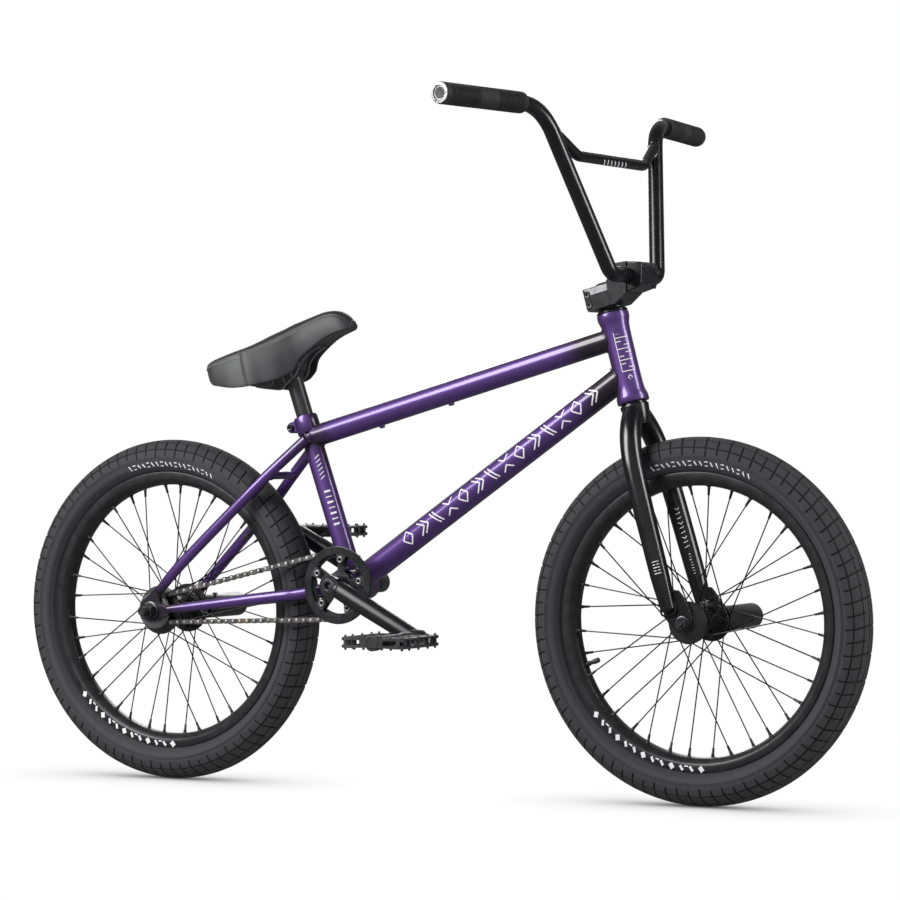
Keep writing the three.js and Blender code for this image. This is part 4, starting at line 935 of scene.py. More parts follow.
OUTER_GUARD = [(7.5, -54.6), (20.5, -54.7), (24.5, -54.1), (27.2, -52.6), (28.0, -51.6),
               (28.0, -50.8), (7.5, -50.8)]
guard = Mesh().add(lathe(OUTER_GUARD, REAR, LEFT, 64))
guard.build("guard_rear_outer", "frame", "black_plastic", "guard_rear",
            ["rear_hub_guard_outer"], 32)
# small upright screw ahead of the left dropout
SCREW = [(0, 0), (2.2, 0), (2.2, 9), (3.6, 9), (3.6, 12.5), (2.8, 13.2), (0, 13.2)]
screw = Mesh().add(lathe(SCREW, vec(-409, 59, 269), UP, 20))
screw.build("tensioner_screw", "frame", "dark_steel", "dark", sharp=30)

# ---------------------------------------------------------------- chain
PITCH, LINKS, RING_TEETH, COG_TEETH = 12.7, 70, 25, 9
CHAIN_Y = -43.5
RING_R = PITCH / (2 * sin(pi / RING_TEETH))
COG_R = PITCH / (2 * sin(pi / COG_TEETH))
CENTRES = hypot(SHELL[0] - REAR[0], SHELL[2] - REAR[2])
TILT = math.atan2(SHELL[2] - REAR[2], SHELL[0] - REAR[0])
WRAP = math.asin((RING_R - COG_R) / CENTRES)
RUN = math.sqrt(CENTRES**2 - (RING_R - COG_R) ** 2)
RING_ARC, COG_ARC = RING_R * (pi + 2 * WRAP), COG_R * (pi - 2 * WRAP)


def wheel_point(centre, radius, angle):
    return np.array([centre[0] + radius * cos(angle), centre[2] + radius * sin(angle)])


def chain_point(s):
    """(x, z) on the pitch line: round the ring, back along the top, round the cog, ahead."""
    low, high = TILT - pi / 2 - WRAP, TILT + pi / 2 + WRAP
    if s < RING_ARC:
        return wheel_point(SHELL, RING_R, low + s / RING_R)
    s -= RING_ARC
    if s < RUN:
        start, end = wheel_point(SHELL, RING_R, high), wheel_point(REAR, COG_R, high)
        return start + (end - start) * s / RUN
    s -= RUN
    if s < COG_ARC:
        return wheel_point(REAR, COG_R, high + s / COG_R)
    s -= COG_ARC
    start, end = wheel_point(REAR, COG_R, low), wheel_point(SHELL, RING_R, low)
    return start + (end - start) * s / RUN


def link_outline(a, b, r, waist):
    """Waisted plate round the two pins a and b."""
    turn = math.atan2(b[1] - a[1], b[0] - a[0])
    middle = (a + b) / 2
    outline = []
    for pin, start, waist_turn in ((a, pi / 2, -pi / 2), (b, -pi / 2, pi / 2)):
        for k in range(9):
            g = turn + start + radians(18) + (pi - radians(36)) * k / 8
            outline.append((pin[0] + r * cos(g), pin[1] + r * sin(g)))
        g = turn + waist_turn
        outline.append((middle[0] + waist * cos(g), middle[1] + waist * sin(g)))
    return outline


def tooth_phase(centre, target, teeth):
    """Angle that seats the pin nearest to target between two teeth."""
    x, z = min(pins, key=lambda p: hypot(p[0] - target[0], p[1] - target[1]))
    return math.atan2(z - centre[2], x - centre[0]) + pi / teeth


total = RING_ARC + COG_ARC + 2 * RUN
pins = [chain_point(total * i / LINKS) for i in range(LINKS)]
RING_PHASE = tooth_phase(SHELL, wheel_point(SHELL, RING_R, TILT), RING_TEETH) + CRANK_ANGLE
COG_PHASE = tooth_phase(REAR, wheel_point(REAR, -COG_R, TILT), COG_TEETH)
GOLD_LINK = 56
OUTER_LINK = (4.1, 3.0, 3.2, 4.2)  # end radius, waist, near and far face from the chain's middle
INNER_LINK = (3.9, 2.8, 1.95, 2.95)
chain = Mesh()
for i in range(LINKS):
    radius, waist, near, far = INNER_LINK if i % 2 else OUTER_LINK
    outline = link_outline(pins[i], pins[(i + 1) % LINKS], radius, waist)
    for side in (-1, 1):
        faces_y = sorted((CHAIN_Y + side * near, CHAIN_Y + side * far))
        chain.add(prism(outline, *faces_y), 2 if i == GOLD_LINK else 0)
for x, z in pins:
    chain.add(tube([vec(x, CHAIN_Y - 2.6, z), vec(x, CHAIN_Y + 2.6, z)], 3.7, 12))
    for side in (-1, 1):
        rivet = [(0, 0), (2.2, 0), (2.2, 0.5), (1.6, 0.95), (0, 1.0)]
        chain.add(lathe(rivet, vec(x, CHAIN_Y + side * 4.1, z), side * LEFT, 12), 1)
chain.build("chain_links", "frame", "dark_steel", ["link", "pin", "gold"], ["chain"], 35)


# ---------------------------------------------------------------- sprockets
def sprocket_outline(teeth, radius, phase, tooth):
    """Teeth of the given height with roller seats between them."""
    outline, step = [], 2 * pi / teeth
    for i in range(teeth):
        a = phase + i * step
        seat = a - step / 2
        for k in range(7):
            g = seat + pi + radians(62) - radians(124) * k / 6
            outline.append((radius * cos(seat) + 4.1 * cos(g), radius * sin(seat) + 4.1 * sin(g)))
        for share, height in ((-0.13, 0.65), (-0.07, 1), (0.07, 1), (0.13, 0.65)):
            r, g = radius + tooth * height, a + share * step
            outline.append((r * cos(g), r * sin(g)))
    return outline


def turned(angle, x, z):
    return x * cos(angle) - z * sin(angle), x * sin(angle) + z * cos(angle)


COG_HUB = [(8, -49.4), (12.6, -49.4), (13.2, -48.8), (13.2, -37), (15.1, -36.6), (15.1, -9), (8, -9)]
outline = sprocket_outline(COG_TEETH, COG_R, COG_PHASE, 2.6)
cog = Mesh(lambda p: REAR + p).add(prism(outline, CHAIN_Y - 1.3, CHAIN_Y + 1.3))
cog.add(lathe(COG_HUB, seg=40))
cog.build("driver_cog", "driver", "dark_steel", "link", ["driver"], 32)

RING_ARMS = 5
windows = []
for i in range(RING_ARMS):
    window = []
    # radius, first and last angle of the window's inner and outer arcs
    for r, first, last in ((20.5, -19, 19), (42.0, 24.5, -24.5)):
        for k in range(9):
            a = radians(72 * i) + radians(first + (last - first) * k / 8)
            window.append((r * cos(a), r * sin(a)))
    windows.append(window)
RING_HUB = [(9.8, -51.0), (14.2, -51.0), (15, -50.2), (15, -36), (14.2, -35.2), (9.8, -35.2)]
outline = sprocket_outline(RING_TEETH, RING_R, RING_PHASE, 3.4)
ring = Mesh(crank_point).add(prism(outline, CHAIN_Y - 1.5, CHAIN_Y + 1.5, windows))
ring.add(lathe(RING_HUB))
ring.build("chainring_plate", "crankset", "gloss_black", "anodised", ["chainring"], 32)

# guard ring with five bolted lugs
GUARD_RING = [(45.3, -48.4), (45.3, -50.2), (46.2, -51.0), (56.2, -51.2), (57.2, -50.6),
              (57.5, -49.8), (57.2, -48.6), (56.6, -48.3)]
LUG_RADIUS = 38
guard = Mesh(crank_point).add(lathe(GUARD_RING, seg=120))
for i in range(RING_ARMS):
    a = radians(36 + 72 * i)
    lug = [(9.5, -8.2), (9.5, 8.2)]
    lug += [(6.4 * cos(g), 6.4 * sin(g)) for g in np.linspace(pi / 2, 3 * pi / 2, 13)]
    guard.add(prism([turned(a, LUG_RADIUS + x, z) for x, z in lug], -51.0, -48.4))
    x, z = turned(a, LUG_RADIUS, 0)
    guard.add(socket_bolt(vec(x, -51.0, z), -LEFT, r=5.0, h=2.0, socket=2.5, depth=1.5), 1)
    guard.add(tube([vec(x, -51.5, z), vec(x, -45.2, z)], 4.2, 20))
# low radial bars round the guard's face, in groups of three
BAR = [(-3.2, 0.3, -0.45), (3.2, 0.3, -0.45), (3.2, 0.3, 0.45), (-3.2, 0.3, 0.45),
       (-3.0, -0.1, -0.3), (3.0, -0.1, -0.3), (3.0, -0.1, 0.3), (-3.0, -0.1, 0.3)]
BAR_FACES = [[0, 1, 2, 3], [4, 7, 6, 5], [0, 4, 5, 1], [1, 5, 6, 2], [2, 6, 7, 3], [3, 7, 4, 0]]
for i in range(60):
    if (i // 3) % 2 == 0:
        points = []
        for x, y, z in BAR:
            x, z = turned(radians(6 * i), 51.0 + x, z)
            points.append(vec(x, -51.25 + y, z))
        guard.add((points, BAR_FACES), 2)
guard.build("ring_guard", "crankset", "gloss_black", ["anodised", "bolt", "satin"],
            ["chainring_guard"], 32)

# ---------------------------------------------------------------- cranks
CRANK_LENGTH = 165
# arm: distance from the spindle, distance from the middle plane, radius
ARM = [(4, 65.1, 11.5), (16, 65.6, 13.6), (30, 66.5, 14.0), (60, 68.3, 13.9), (100, 70.6, 13.4),
       (140, 73.0, 12.9), (158, 74.1, 12.5), (168, 74.6, 11.6), (174, 75.0, 8.6), (177, 75.2, 3.0)]
BOSS_R = 15.6
SPINDLE_BOSS = [(9.8, 52.3), (14.6, 52.3), (BOSS_R, 53.3), (BOSS_R, 74.8), (14.8, 76), (12.0, 76),
                (11.4, 75.3), (9.8, 75.3)]
PEDAL_BOSS = [(7.4, 62.5), (12.2, 62.5), (13.2, 63.5), (13.2, 86.8), (12.2, 88), (7.4, 88)]


def build_arm(side, side_name):
    """The right arm points ahead and the left arm back."""
    arm = Mesh(crank_point)
    path = [vec(-side * x, side * y, 0) for x, y, _ in ARM]
    arm.add(tube(path, [r for _, _, r in ARM], 36, hint=UP))
    arm.add(lathe(mirror_profile(SPINDLE_BOSS, side), seg=56))
    arm.add(lathe(mirror_profile(PEDAL_BOSS, side), vec(-side * CRANK_LENGTH, 0, 0)))
    weld = []
    for k in range(60):
        t = 2 * pi * k / 60
        z = 13.4 * cos(t)
        x = math.sqrt(max(BOSS_R**2 - z * z, 1.0))
        weld.append(vec(-side * x, side * (65.8 + 13.4 * sin(t)), z))
    arm.add(tube(weld, 1.1, 8, closed=True))
    # cross screw beside the spindle
    arm.add(tube([vec(side * 3, side * 70, 14.0), vec(-side * 9, side * 70, 15.2)], 3.4, 20), 1)
    arm.build("arm_" + side_name, "crankset", "satin_black", ["satin", "dark"],
              ["crank_arm_" + side_name], 40)


for side, side_name in SIDES:
    build_arm(side, side_name)
SPINDLE = [(5.6, -77), (8.2, -77), (9.5, -76), (9.5, 76), (8.2, 77), (5.6, 77), (5.6, 60), (5.6, -60)]
SPINDLE_END = [(6.0, 72.5), (11.2, 75.6), (11.6, 76.6), (11.0, 77.6), (7.2, 77.9), (6.2, 77.2)]
spindle = Mesh(crank_point).add(lathe(SPINDLE, seg=40))
for side, slot in ((-1, 0), (1, 1)):
    spindle.add(lathe(mirror_profile(SPINDLE_END, side)), slot)
    plug = [(0, side * 70), (5.7, side * 70), (5.7, side * 71), (0, side * 71.2)]
    spindle.add(lathe(plug, seg=24), slot)
spindle.build("spindle_tube", "crankset", "dark_steel", ["dark", "steel"], ["crank_spindle"], 32)

# ---------------------------------------------------------------- pedals
PEDAL_IN, PEDAL_OUT, PEDAL_HALF = 94.0, 199.0, 51.0  # y of both ends, half length along x
HOUSING = [
    (7.6, PEDAL_IN + 0.5), (10.6, PEDAL_IN + 0.5), (11.4, PEDAL_IN + 1.3), (11.2, PEDAL_IN + 20),
    (9.6, PEDAL_IN + 30), (9.6, PEDAL_OUT - 26), (11.4, PEDAL_OUT - 12), (11.6, PEDAL_OUT - 1.0),
    (10.9, PEDAL_OUT + 0.6), (9.0, PEDAL_OUT + 1.0), (8.6, PEDAL_OUT + 0.2),
    (7.6, PEDAL_OUT - 1.5),
]
HOUSING_CAP = [(0, PEDAL_OUT - 4), (7.7, PEDAL_OUT - 4), (7.7, PEDAL_OUT - 0.4),
               (5.6, PEDAL_OUT - 0.1), (5.0, PEDAL_OUT - 1.2), (0, PEDAL_OUT - 1.0)]
# sections of the two rails (x back from the pedal's end, z) and of its corners
RAIL = [(9, 3.6), (1.5, 4.2), (-0.2, 5.4), (0.4, 7.4), (2, 8.0), (9, 7.7)]
CORNER = [(12, -7.4), (12, 7.4), (2.5, 7.8), (1, 6.6), (1, 3.2), (5, 2.4), (5, -2.4), (1, -3.2),
          (1, -6.6), (2.5, -7.8)]
PEDAL_AXLE = [
    (0, 68), (3.2, 68), (3.2, 71), (6.0, 71), (6.6, 71.8), (6.6, 86), (6.6, 88.6), (9.0, 88.6),
    (9.5, 89.2), (9.5, 92.6), (9.0, 93.2), (6.6, 93.2), (6.6, 188), (0, 188),
]
EDGE_PIN = [(0, 5), (1.9, 5), (1.9, 8.6), (1.5, 10.4), (1.1, 10.8), (0, 10.8)]
END_PIN = [(0, 4), (1.8, 4), (1.8, 8.2), (1.4, 9.8), (1.0, 10.1), (0, 10.1)]


def pedal_section(xs, trim=0.0):
    """x-z outline of the platform, thin over the spindle and thicker at both ends."""
    edge = [(x, 6.6 + 1.2 * min(1.0, abs(x) / 34) ** 2 - trim) for x in xs]
    return edge + [(x, -z) for x, z in edge[::-1]]


def build_pedal(side, side_name):
    centre = crank_point((-side * CRANK_LENGTH, 0, 0))
    y0, y1, half = PEDAL_IN, PEDAL_OUT, PEDAL_HALF

    def place(p):
        return centre + vec(p[0], side * p[1], p[2])

    platform = Mesh(place)

    def add(shape, slot=0, mesh=platform):
        points, faces = shape
        mesh.add((points, [face[::side] for face in faces]), slot)

    # end plates with a window on each side of the housing
    for low in (y0, y1 - 6):
        plate_holes = [
            [(a, -3.3), (b, -3.9), (b, 3.9), (a, 3.3)] for a, b in ((18, 42), (-42, -18))
        ]
        high = low + 6
        add(prism(pedal_section(np.linspace(-half + 5, half - 5, 21)), low, high, plate_holes))
    for end in (-1, 1):
        for face in (-1, 1):
            rail = [(end * (half - x), face * z) for x, z in RAIL]
            add(prism(rail, y0 + 7, y1 - 7))
        # posts between the two rails
        for y in (y0 + 7, 122, 147, 172, y1 - 11):
            add(block((end * (half - 5), y + 2, 0), (7, 4, 13)))
        for low, high in ((y0 + 1.5, y0 + 9), (y1 - 9, y1 - 1.5)):
            add(prism([(end * (half - x), z) for x, z in CORNER], low, high))
        # ribs from the housing to the rails
        for y in (118, 146.5, 175):
            section = [(end * x, z) for x, z in pedal_section(np.linspace(9, half - 5, 9), 0.3)]
            hole = [(end * 18, -3), (end * 40, -3.4), (end * 40, 3.4), (end * 18, 3)]
            add(prism(section, y - 2.2, y + 2.2, [hole]))
        for face in (-1, 1):
            add(block((end * 14, 146.5, face * 5.4), (6, 96, 2.6)))
    add(lathe(HOUSING, seg=40))
    add(lathe(HOUSING_CAP, seg=32))
    # pins on both faces
    for end in (-1, 1):
        for face in (-1, 1):
            for y in (y0 + 6, 121, 147, 173, y1 - 6):
                add(lathe(EDGE_PIN, vec(end * (half - 4.5), y, 0), face * UP, 12), 1)
            for x, y in ((30, y0 + 3.5), (30, y1 - 3.5), (15, y1 - 3.5)):
                add(lathe(END_PIN, vec(end * x, y, 0), face * UP, 12), 1)
    platform.build("platform_" + side_name, "pedal_" + side_name, "black_plastic",
                   ["plastic", "dark"], ["pedal_" + side_name], 30,
                   bevel=0.45, bevel_angle=40, segments=1)
    axle = Mesh(place)
    add(lathe(PEDAL_AXLE, seg=28), mesh=axle)
    axle.build("pedal_axle_" + side_name, "crankset", "steel", "dark",
               ["pedal_spindle_" + side_name], 30)


for side, side_name in SIDES:
    build_pedal(side, side_name)

# ---------------------------------------------------------------- seatpost and saddle
POST_R = 12.7
post = Mesh(seat_point)
post.add(lathe([(0, 165), (11.2, 165), (POST_R, 166.5), (POST_R, 322), (0, 322)], axis=UP))
head = [(0, -13), (14.0, -13), (15.0, -12), (15.0, 12), (14.0, 13), (0, 13)]
post.add(lathe(head, vec(0, 0, 334)))
# fine lines round the foot of the post
for z in (181, 187, 193):
    line = [(12.2, z - 0.35), (12.85, z - 0.35), (12.85, z + 0.35), (12.2, z + 0.35)]
    post.add(lathe(line, axis=UP, seg=40))
post.build("seatpost_tube", "seatpost", "satin_black", "satin", ["seatpost"], 32)

# cushion: x, skirt's half width and height, top edge's half width and height, crown's height
CUSHION = [
    (-118.6, 38.5, 366, 35.5, 377.5, 382.8), (-115.5, 45.5, 359.5, 43, 380.6, 387.6),
    (-109.5, 52, 351.5, 48.5, 382.4, 390.8), (-99, 56.5, 345.8, 52, 382.6, 392.2),
    (-68, 62, 332, 54, 381.2, 391.8), (-41, 60, 325.7, 52, 379.2, 391.2),
    (-22, 53, 323.6, 47, 378, 393), (-3, 46, 322, 41, 378, 395.4),
    (20, 34, 326, 33, 380.5, 396.8), (36, 28, 341, 27, 382.5, 398.4),
    (60, 24.5, 350.5, 21, 385.5, 398.4), (83, 22, 356.5, 18, 388, 398),
    (100, 20, 358, 15.5, 386, 395), (111, 18.2, 358, 13.4, 380.5, 389.8),
    (118, 15.6, 357.8, 11.4, 374, 383.4), (122.6, 12.4, 358.2, 9.4, 368.6, 376.8),
    (125.2, 8.8, 359.6, 7.0, 364.2, 370.6),
]
# base: x, half width at its top, height of its keel, half width at the keel
BASE = [
    (-98, 36, 347.5, 24), (-70, 44, 340, 26), (-54, 44, 329.5, 24), (-33, 40, 318.8, 20),
    (-13.3, 30, 311.8, 18.5), (-8.5, 28, 314.5, 18.5), (15.5, 22.5, 325.5, 17.5),
    (25, 20.5, 337, 15), (35, 18.5, 343.8, 13), (49.6, 16, 349.2, 11), (64, 14, 351.4, 9.5),
]
BASE_TOP = 353.0


def station(table, x):
    """A table's columns after x, by monotone cubic interpolation at x."""
    xs = [row[0] for row in table]
    x = max(xs[0], min(xs[-1], x))
    i = max(0, min(len(xs) - 2, int(np.searchsorted(xs, x, side="right")) - 1))
    step = xs[i + 1] - xs[i]
    t = (x - xs[i]) / step
    values = []
    for column in list(zip(*table))[1:]:
        rises = [
            (column[k + 1] - column[k]) / (xs[k + 1] - xs[k]) for k in range(len(xs) - 1)
        ]

        def slope(k):
            if k == 0:
                return rises[0]
            if k == len(xs) - 1:
                return rises[-1]
            before, after = rises[k - 1], rises[k]
            return 0.0 if before * after <= 0 else 2 * before * after / (before + after)

        m0, m1 = slope(i) * step, slope(i + 1) * step
        values.append(
            (2 * t**3 - 3 * t**2 + 1) * column[i] + (t**3 - 2 * t**2 + t) * m0
            + (-2 * t**3 + 3 * t**2) * column[i + 1] + (t**3 - t**2) * m1
        )
    return values


def both_halves(x, half):
    """Closed section at x from a half section that starts and ends on the middle plane."""
    return [vec(x, y, z) for y, z in half + [(-y, z) for y, z in half[-2:0:-1]]]


def cushion_section(x):
    """Half section from the middle of the underside, round the side, to the crown."""
    skirt, low, edge, edge_z, crown = station(CUSHION, x)
    under = max(353.5, low + 1.2)
    inner = max(2.0, min(skirt - 4.0, station(BASE, x)[0] + 0.8))
    lip = (skirt - 3.2, low + 1.2) if low < 352 else ((inner + skirt) / 2, under - 0.6)
    section = [(0, under), (inner * 0.6, under), (inner, under), lip, (skirt - 1.3, low),
               (skirt, low + 1.0)]
    for k in range(1, 9):
        t = k / 9
        bulge = 1.3 * sin(pi * t) * min(1.0, (edge_z - low) / 30)
        section.append((skirt + (edge - skirt) * t + bulge, low + 1.0 + (edge_z - 1.2 - low) * t))
    section += [(edge + 0.5, edge_z - 0.9), (edge - 0.1, edge_z - 0.1), (edge - 0.6, edge_z + 0.5)]
    for k in range(1, 12):
        y = edge * cos(pi / 2 * k / 12) ** 0.9
        rise = (crown - edge_z - 0.5) * (1 - (y / edge) ** 2.6) ** 0.66
        section.append((min(y, edge - 0.8), edge_z + 0.5 + rise))
    section.append((0, crown))
    return section


def build_cushion():
    rear_x, nose_x, tail_x = CUSHION[0][0], CUSHION[-1][0], -45.5
    extra = [-118, -117, -116, -114, 124.6, 123.6, 122.4, 120.6, -46.2, -44.9]
    xs = sorted({round(x, 2) for x in list(np.linspace(rear_x, nose_x, 84)) + extra})
    sections = [both_halves(x, cushion_section(x)) for x in xs]
    n = len(sections[0])
    points, faces, slots = sum(sections, []), [], []
    for i in range(len(sections) - 1):
        faces += band(i * n, (i + 1) * n, n)
        for k in range(n):
            # place round the half section: the tail's side panel, the top in a darker copy of the
            # cover as painted shade, or the rest
            place = k if k < n / 2 else n - k - 1
            tail = xs[i] < tail_x and 4 <= place <= 15
            slots.append(1 if tail else 2 if place >= 17 else 0)
    # rounded ends: the last sections shrink towards their middle
    for end, x, way, slot in ((0, rear_x, -1, 1), (len(sections) - 1, nose_x, 1, 0)):
        middle = sum(sections[end]) / n
        previous = end * n
        for scale, out in ((0.95, 1.0), (0.84, 1.9), (0.62, 2.6), (0.32, 2.9)):
            base = len(points)
            shrunk = [(p - middle) * scale + middle for p in sections[end]]
            points += [vec(x + way * out, p[1], p[2]) for p in shrunk]
            faces += [quad[::way] for quad in band(previous, base, n)]
            previous = base
        faces.append([previous + k for k in range(n)])
        slots += [slot] * (4 * n + 1)
    cushion = Mesh(seat_point).add((points, faces), slots)
    cushion.build("cushion_skin", "seat", "saddle_cover", ["cover", "tail", "top_painted_shade"],
                  ["seat_cushion"], 50, subsurf=1)


build_cushion()

# seam of the tail panel below the top's rim, round the back from side to side
seam = []
for x in np.linspace(-45.5, -116, 26):
    skirt, low, edge, edge_z, _ = station(CUSHION, x)
    seam.append(vec(x, -(edge + (skirt - edge) * 0.12 + 0.75), edge_z - (edge_z - low) * 0.12))
seam += [vec(-120.0, -33, 374.9), vec(-121.0, -25, 374.6), vec(-121.4, -13, 374.6),
         vec(-121.5, 0, 374.6)]
piping = Mesh(seat_point).add(tube(catmull(seam + mirror(seam[-2::-1], -1), 3), 0.8, 8))
piping.build("cushion_piping", "seat", "saddle_cover", "piping", sharp=60)

# two ridges down each side, with stitches between them
seams = Mesh(seat_point)
for side in (-1, 1):
    for x in (-47.4, -44.6):
        ridge = [vec(x, side * (y + 0.12), z) for y, z in cushion_section(x)[5:16]]
        seams.add(tube(ridge, 0.75, 8))
    section = cushion_section(-46)
    for k in range(5, 14):
        for t in (0.5 / 3, 1.5 / 3, 2.5 / 3):
            y, z = (section[k][j] * (1 - t) + section[k + 1][j] * t for j in (0, 1))
            stitch = [(-47.6, y + 0.5, z - 0.2), (-46, y + 0.75, z), (-44.4, y + 0.5, z + 0.2)]
            seams.add(tube(mirror(stitch, side), 0.32, 6), 1)
seams.build("cushion_seams", "seat", "saddle_cover", ["cover", "piping"], sharp=60)


def base_section(x):
    """Half section of the base; a deeper channel takes the post's head."""
    top, low, keel = station(BASE, x)
    channel = -18.5 < x < 16.1
    inner = 13.9 if channel else max(1.0, keel - 5.5)
    roof = 351.0 if channel else min(low + 3.0, 351.5)
    if channel:
        keel = max(keel, inner + 3.2)
    taper, depth = top - keel, BASE_TOP - low
    return [
        (0, BASE_TOP), (top * 0.6, BASE_TOP), (top, BASE_TOP),
        (top - 0.2 * taper - 0.6, BASE_TOP - 0.25 * depth),
        (top - 0.55 * taper - 1.0, BASE_TOP - 0.55 * depth),
        (top - 0.85 * taper - 0.4, BASE_TOP - 0.85 * depth),
        (keel, low + 1.4), (keel - 0.9, low + 0.2), (keel - 2.0, low),
        (inner + 0.3, low + 0.2), (inner, low + 0.8), (inner, roof - 0.5), (inner - 0.6, roof),
        (0, roof),
    ]


xs = sorted({float(x) for x in np.linspace(-98, 64, 50)} | {-18.2, -18.8, 15.9, 16.3})
rows = [both_halves(x, base_section(x)) for x in xs]
n = len(rows[0])
faces = []
for i in range(len(rows) - 1):
    faces += band(i * n, (i + 1) * n, n)
faces.append(list(range(n)))
faces.append([(len(rows) - 1) * n + k for k in range(n)])
base = Mesh(seat_point).add((sum(rows, []), faces))
base.build("base_shell", "seat", "black_plastic", "plastic", ["seat_base"], 30)

ribs = Mesh(seat_point)
for side in (-1, 1):
    keel_line = []
    for x in np.linspace(-54, 62, 50):
        _, low, keel = station(BASE, x)
        keel_line.append(vec(x, side * (keel - 1.2), low - 0.1))
    ribs.add(tube(keel_line, 1.15, 10))
    # slanted loop on the flank
    loop = []
    for k in range(36):
        a = 2 * pi * k / 36
        x, z = -37 + 17.5 * cos(a), 336.5 + 12.5 * sin(a) - 0.28 * 17.5 * cos(a)
        top, low, keel = station(BASE, x)
        t = clamp01((BASE_TOP - z) / (BASE_TOP - low))
        loop.append(vec(x, side * (top - t * (top - keel) - 0.6), z))
    ribs.add(tube(loop, 1.1, 8, closed=True), 1)
    # ribs up the flank
    for x in (-78, -66, -6, 8, 24, 40):
        top, low, keel = station(BASE, x)
        middle = (x, top - 0.5 * (top - keel) - 0.4, BASE_TOP - 0.5 * (BASE_TOP - low))
        rib = [(x, keel - 0.6, low + 1.0), middle, (x, top - 0.8, 352.6)]
        ribs.add(tube(mirror(rib, side), 0.9, 8))
ribs.build("base_ribs", "seat", "black_plastic", ["edge", "bolt"], sharp=60)

# ---------------------------------------------------------------- fork and front axle
LEG = [(0, 2, -9), (0, 14, -20), (0, 27, -35), (0, 38, -54), (0, 46, -78), (0.6, 50.5, -104),
       (2, 54, -150), (4.6, 57.5, -250), (5.4, 57.2, -299)]
LEG_RADII = [15, 15.3, 15.3, 15.2, 15, 14.8, 14.6, 13.7, 10.8]
LEG_DOME = [(0, -3), (10.8, -3), (10.8, -0.6), (10.0, 1.4), (8.0, 3.4), (4.4, 4.9), (0, 5.2)]
LEG_WELD = [(-6.2, 56.8, -296), (-5.8, 59.0, -304), (-0.6, 60.0, -307), (7.4, 60.2, -308),
            (14.4, 59.8, -306), (17.0, 57.8, -300), (17.4, 56.8, -292)]
STEERER = [
    (14.6, -33), (19, -20), (20.3, -8), (20.6, -6.4), (20.6, -3.9), (20.2, -3.4), (18.6, -3.0),
    (18.2, -0.8), (17.6, -0.4), (14.3, -0.4), (14.3, 160), (14.0, 168.5), (12.6, 168.5),
    (12.6, -20),
]
fork = Mesh(head_point)
for side in (-1, 1):
    path = catmull(mirror(LEG, side), 8)
    radii = [float(np.interp(i / 8, range(9), LEG_RADII)) for i in range(len(path))]
    fork.add(tube(path, radii, 36, hint=AHEAD))
    fork.add(lathe(LEG_DOME, path[-1], path[-1] - path[-2], 30))
    fork.add(tube(catmull(mirror(LEG_WELD, side), 5), 1.5, 8))
fork.add(lathe(STEERER, axis=UP, seg=56))
fork.build("fork_legs", "fork", "gloss_black", "gloss", ["fork"], 40)

# fork dropout: x, z in the head tube's frame
FORK_DROPOUT = [
    (-3, -282), (2, -270), (9, -262), (14, -270.5), (19, -275), (25, -277), (28.6, -284),
    (33, -295), (35.5, -305), (36.2, -312.5), (35.8, -320), (33, -331), (30, -335.4), (26, -337),
    (17, -337), (12.4, -335.2), (8, -331), (2.6, -324), (0, -319), (-2.6, -312), (-4, -306),
    (-4, -294),
]
dropouts = Mesh(head_point)
for side in (-1, 1):
    dropouts.add(prism(FORK_DROPOUT, *span(side, 50.3, 56.5)))
dropouts.build("fork_dropouts", "fork", "gloss_black", "gloss", sharp=30, bevel=0.8)

# stacked bars: one block low on the right leg, two rows down the left
marks = Mesh()
RAISED = dict(lift=0.75, sink=0.8)
right, left = (
    on_tube(*map(head_point, mirror(LEG, side)[6:8]), 14.2, vec(0.35, -0.94, 0))
    for side in (-1, 1)
)
for k in range(5):
    s = 82 + k * 4.2
    bar = [((s, -4.6), (s, 4.6))]
    if k % 2:
        bar = [((s, -4.6), (s, -1.2)), ((s, 1.2), (s, 4.6))]
    marks.add(strokes(right, bar, 1.1, **RAISED))
for k in range(9):
    s, w = 6 + k * 7.0, 3.2
    bar = [((s, -w), (s + 1.6, w))] if k % 3 else joined((s, -w), (s + 3.0, 0), (s, w))
    marks.add(strokes(left, bar, 1.1, **RAISED))
for k in range(8):
    s = 74 + k * 4.0
    marks.add(strokes(left, [((s, -1.6), (s, 0.9 + (k % 3) * 0.7))], 0.8, **RAISED))
marks.build("fork_marks", "fork", "gloss_black", "white", sharp=30)

rod = [(0, -67.5), (3.9, -67.5), (4.5, -66.9)] + thread(4.7, -66.6, -57, 1.3, 0.35)
rod += [(4.7, -56), (4.7, 57)] + thread(4.7, 58, 75.4, 1.3, 0.35) + [(4.4, 75.6), (3.8, 76), (0, 76)]
axle = Mesh().add(lathe(rod, FRONT, LEFT, 28))
axle.build("front_axle_rod", "fork", "steel", "dark", ["front_axle"], 30)
nut = Mesh().add(hex_nut(FRONT + vec(0, -56.9, 0), -LEFT, 15.5, h=7.9, bore=4.9, flange=10.5))
build_nut("front", "right", "fork", nut)
nut = Mesh().add(hex_nut(FRONT + vec(0, 63.5, 0), LEFT, 15.5, h=8.5, bore=4.9, flange=0))
build_nut("front", "left", "fork", nut)
build_peg(FRONT, 57, 5.0, "front", "fork")
FRONT_GUARD = [
    (5.6, 49.6), (13.5, 49.7), (15.2, 49.3), (16.6, 48.2), (22, 44.9), (28.5, 40.9), (29.7, 39.6),
    (30, 38.2), (29.8, 37.4), (18.8, 44.4), (14, 46.2), (5.6, 46.2),
]
for side, side_name in SIDES:
    guard = Mesh().add(lathe([(r, side * h) for r, h in FRONT_GUARD], FRONT, LEFT, 72))
    guard.build("guard_front_" + side_name, "fork", "black_plastic", "guard",
                ["front_hub_guard_" + side_name], 32)

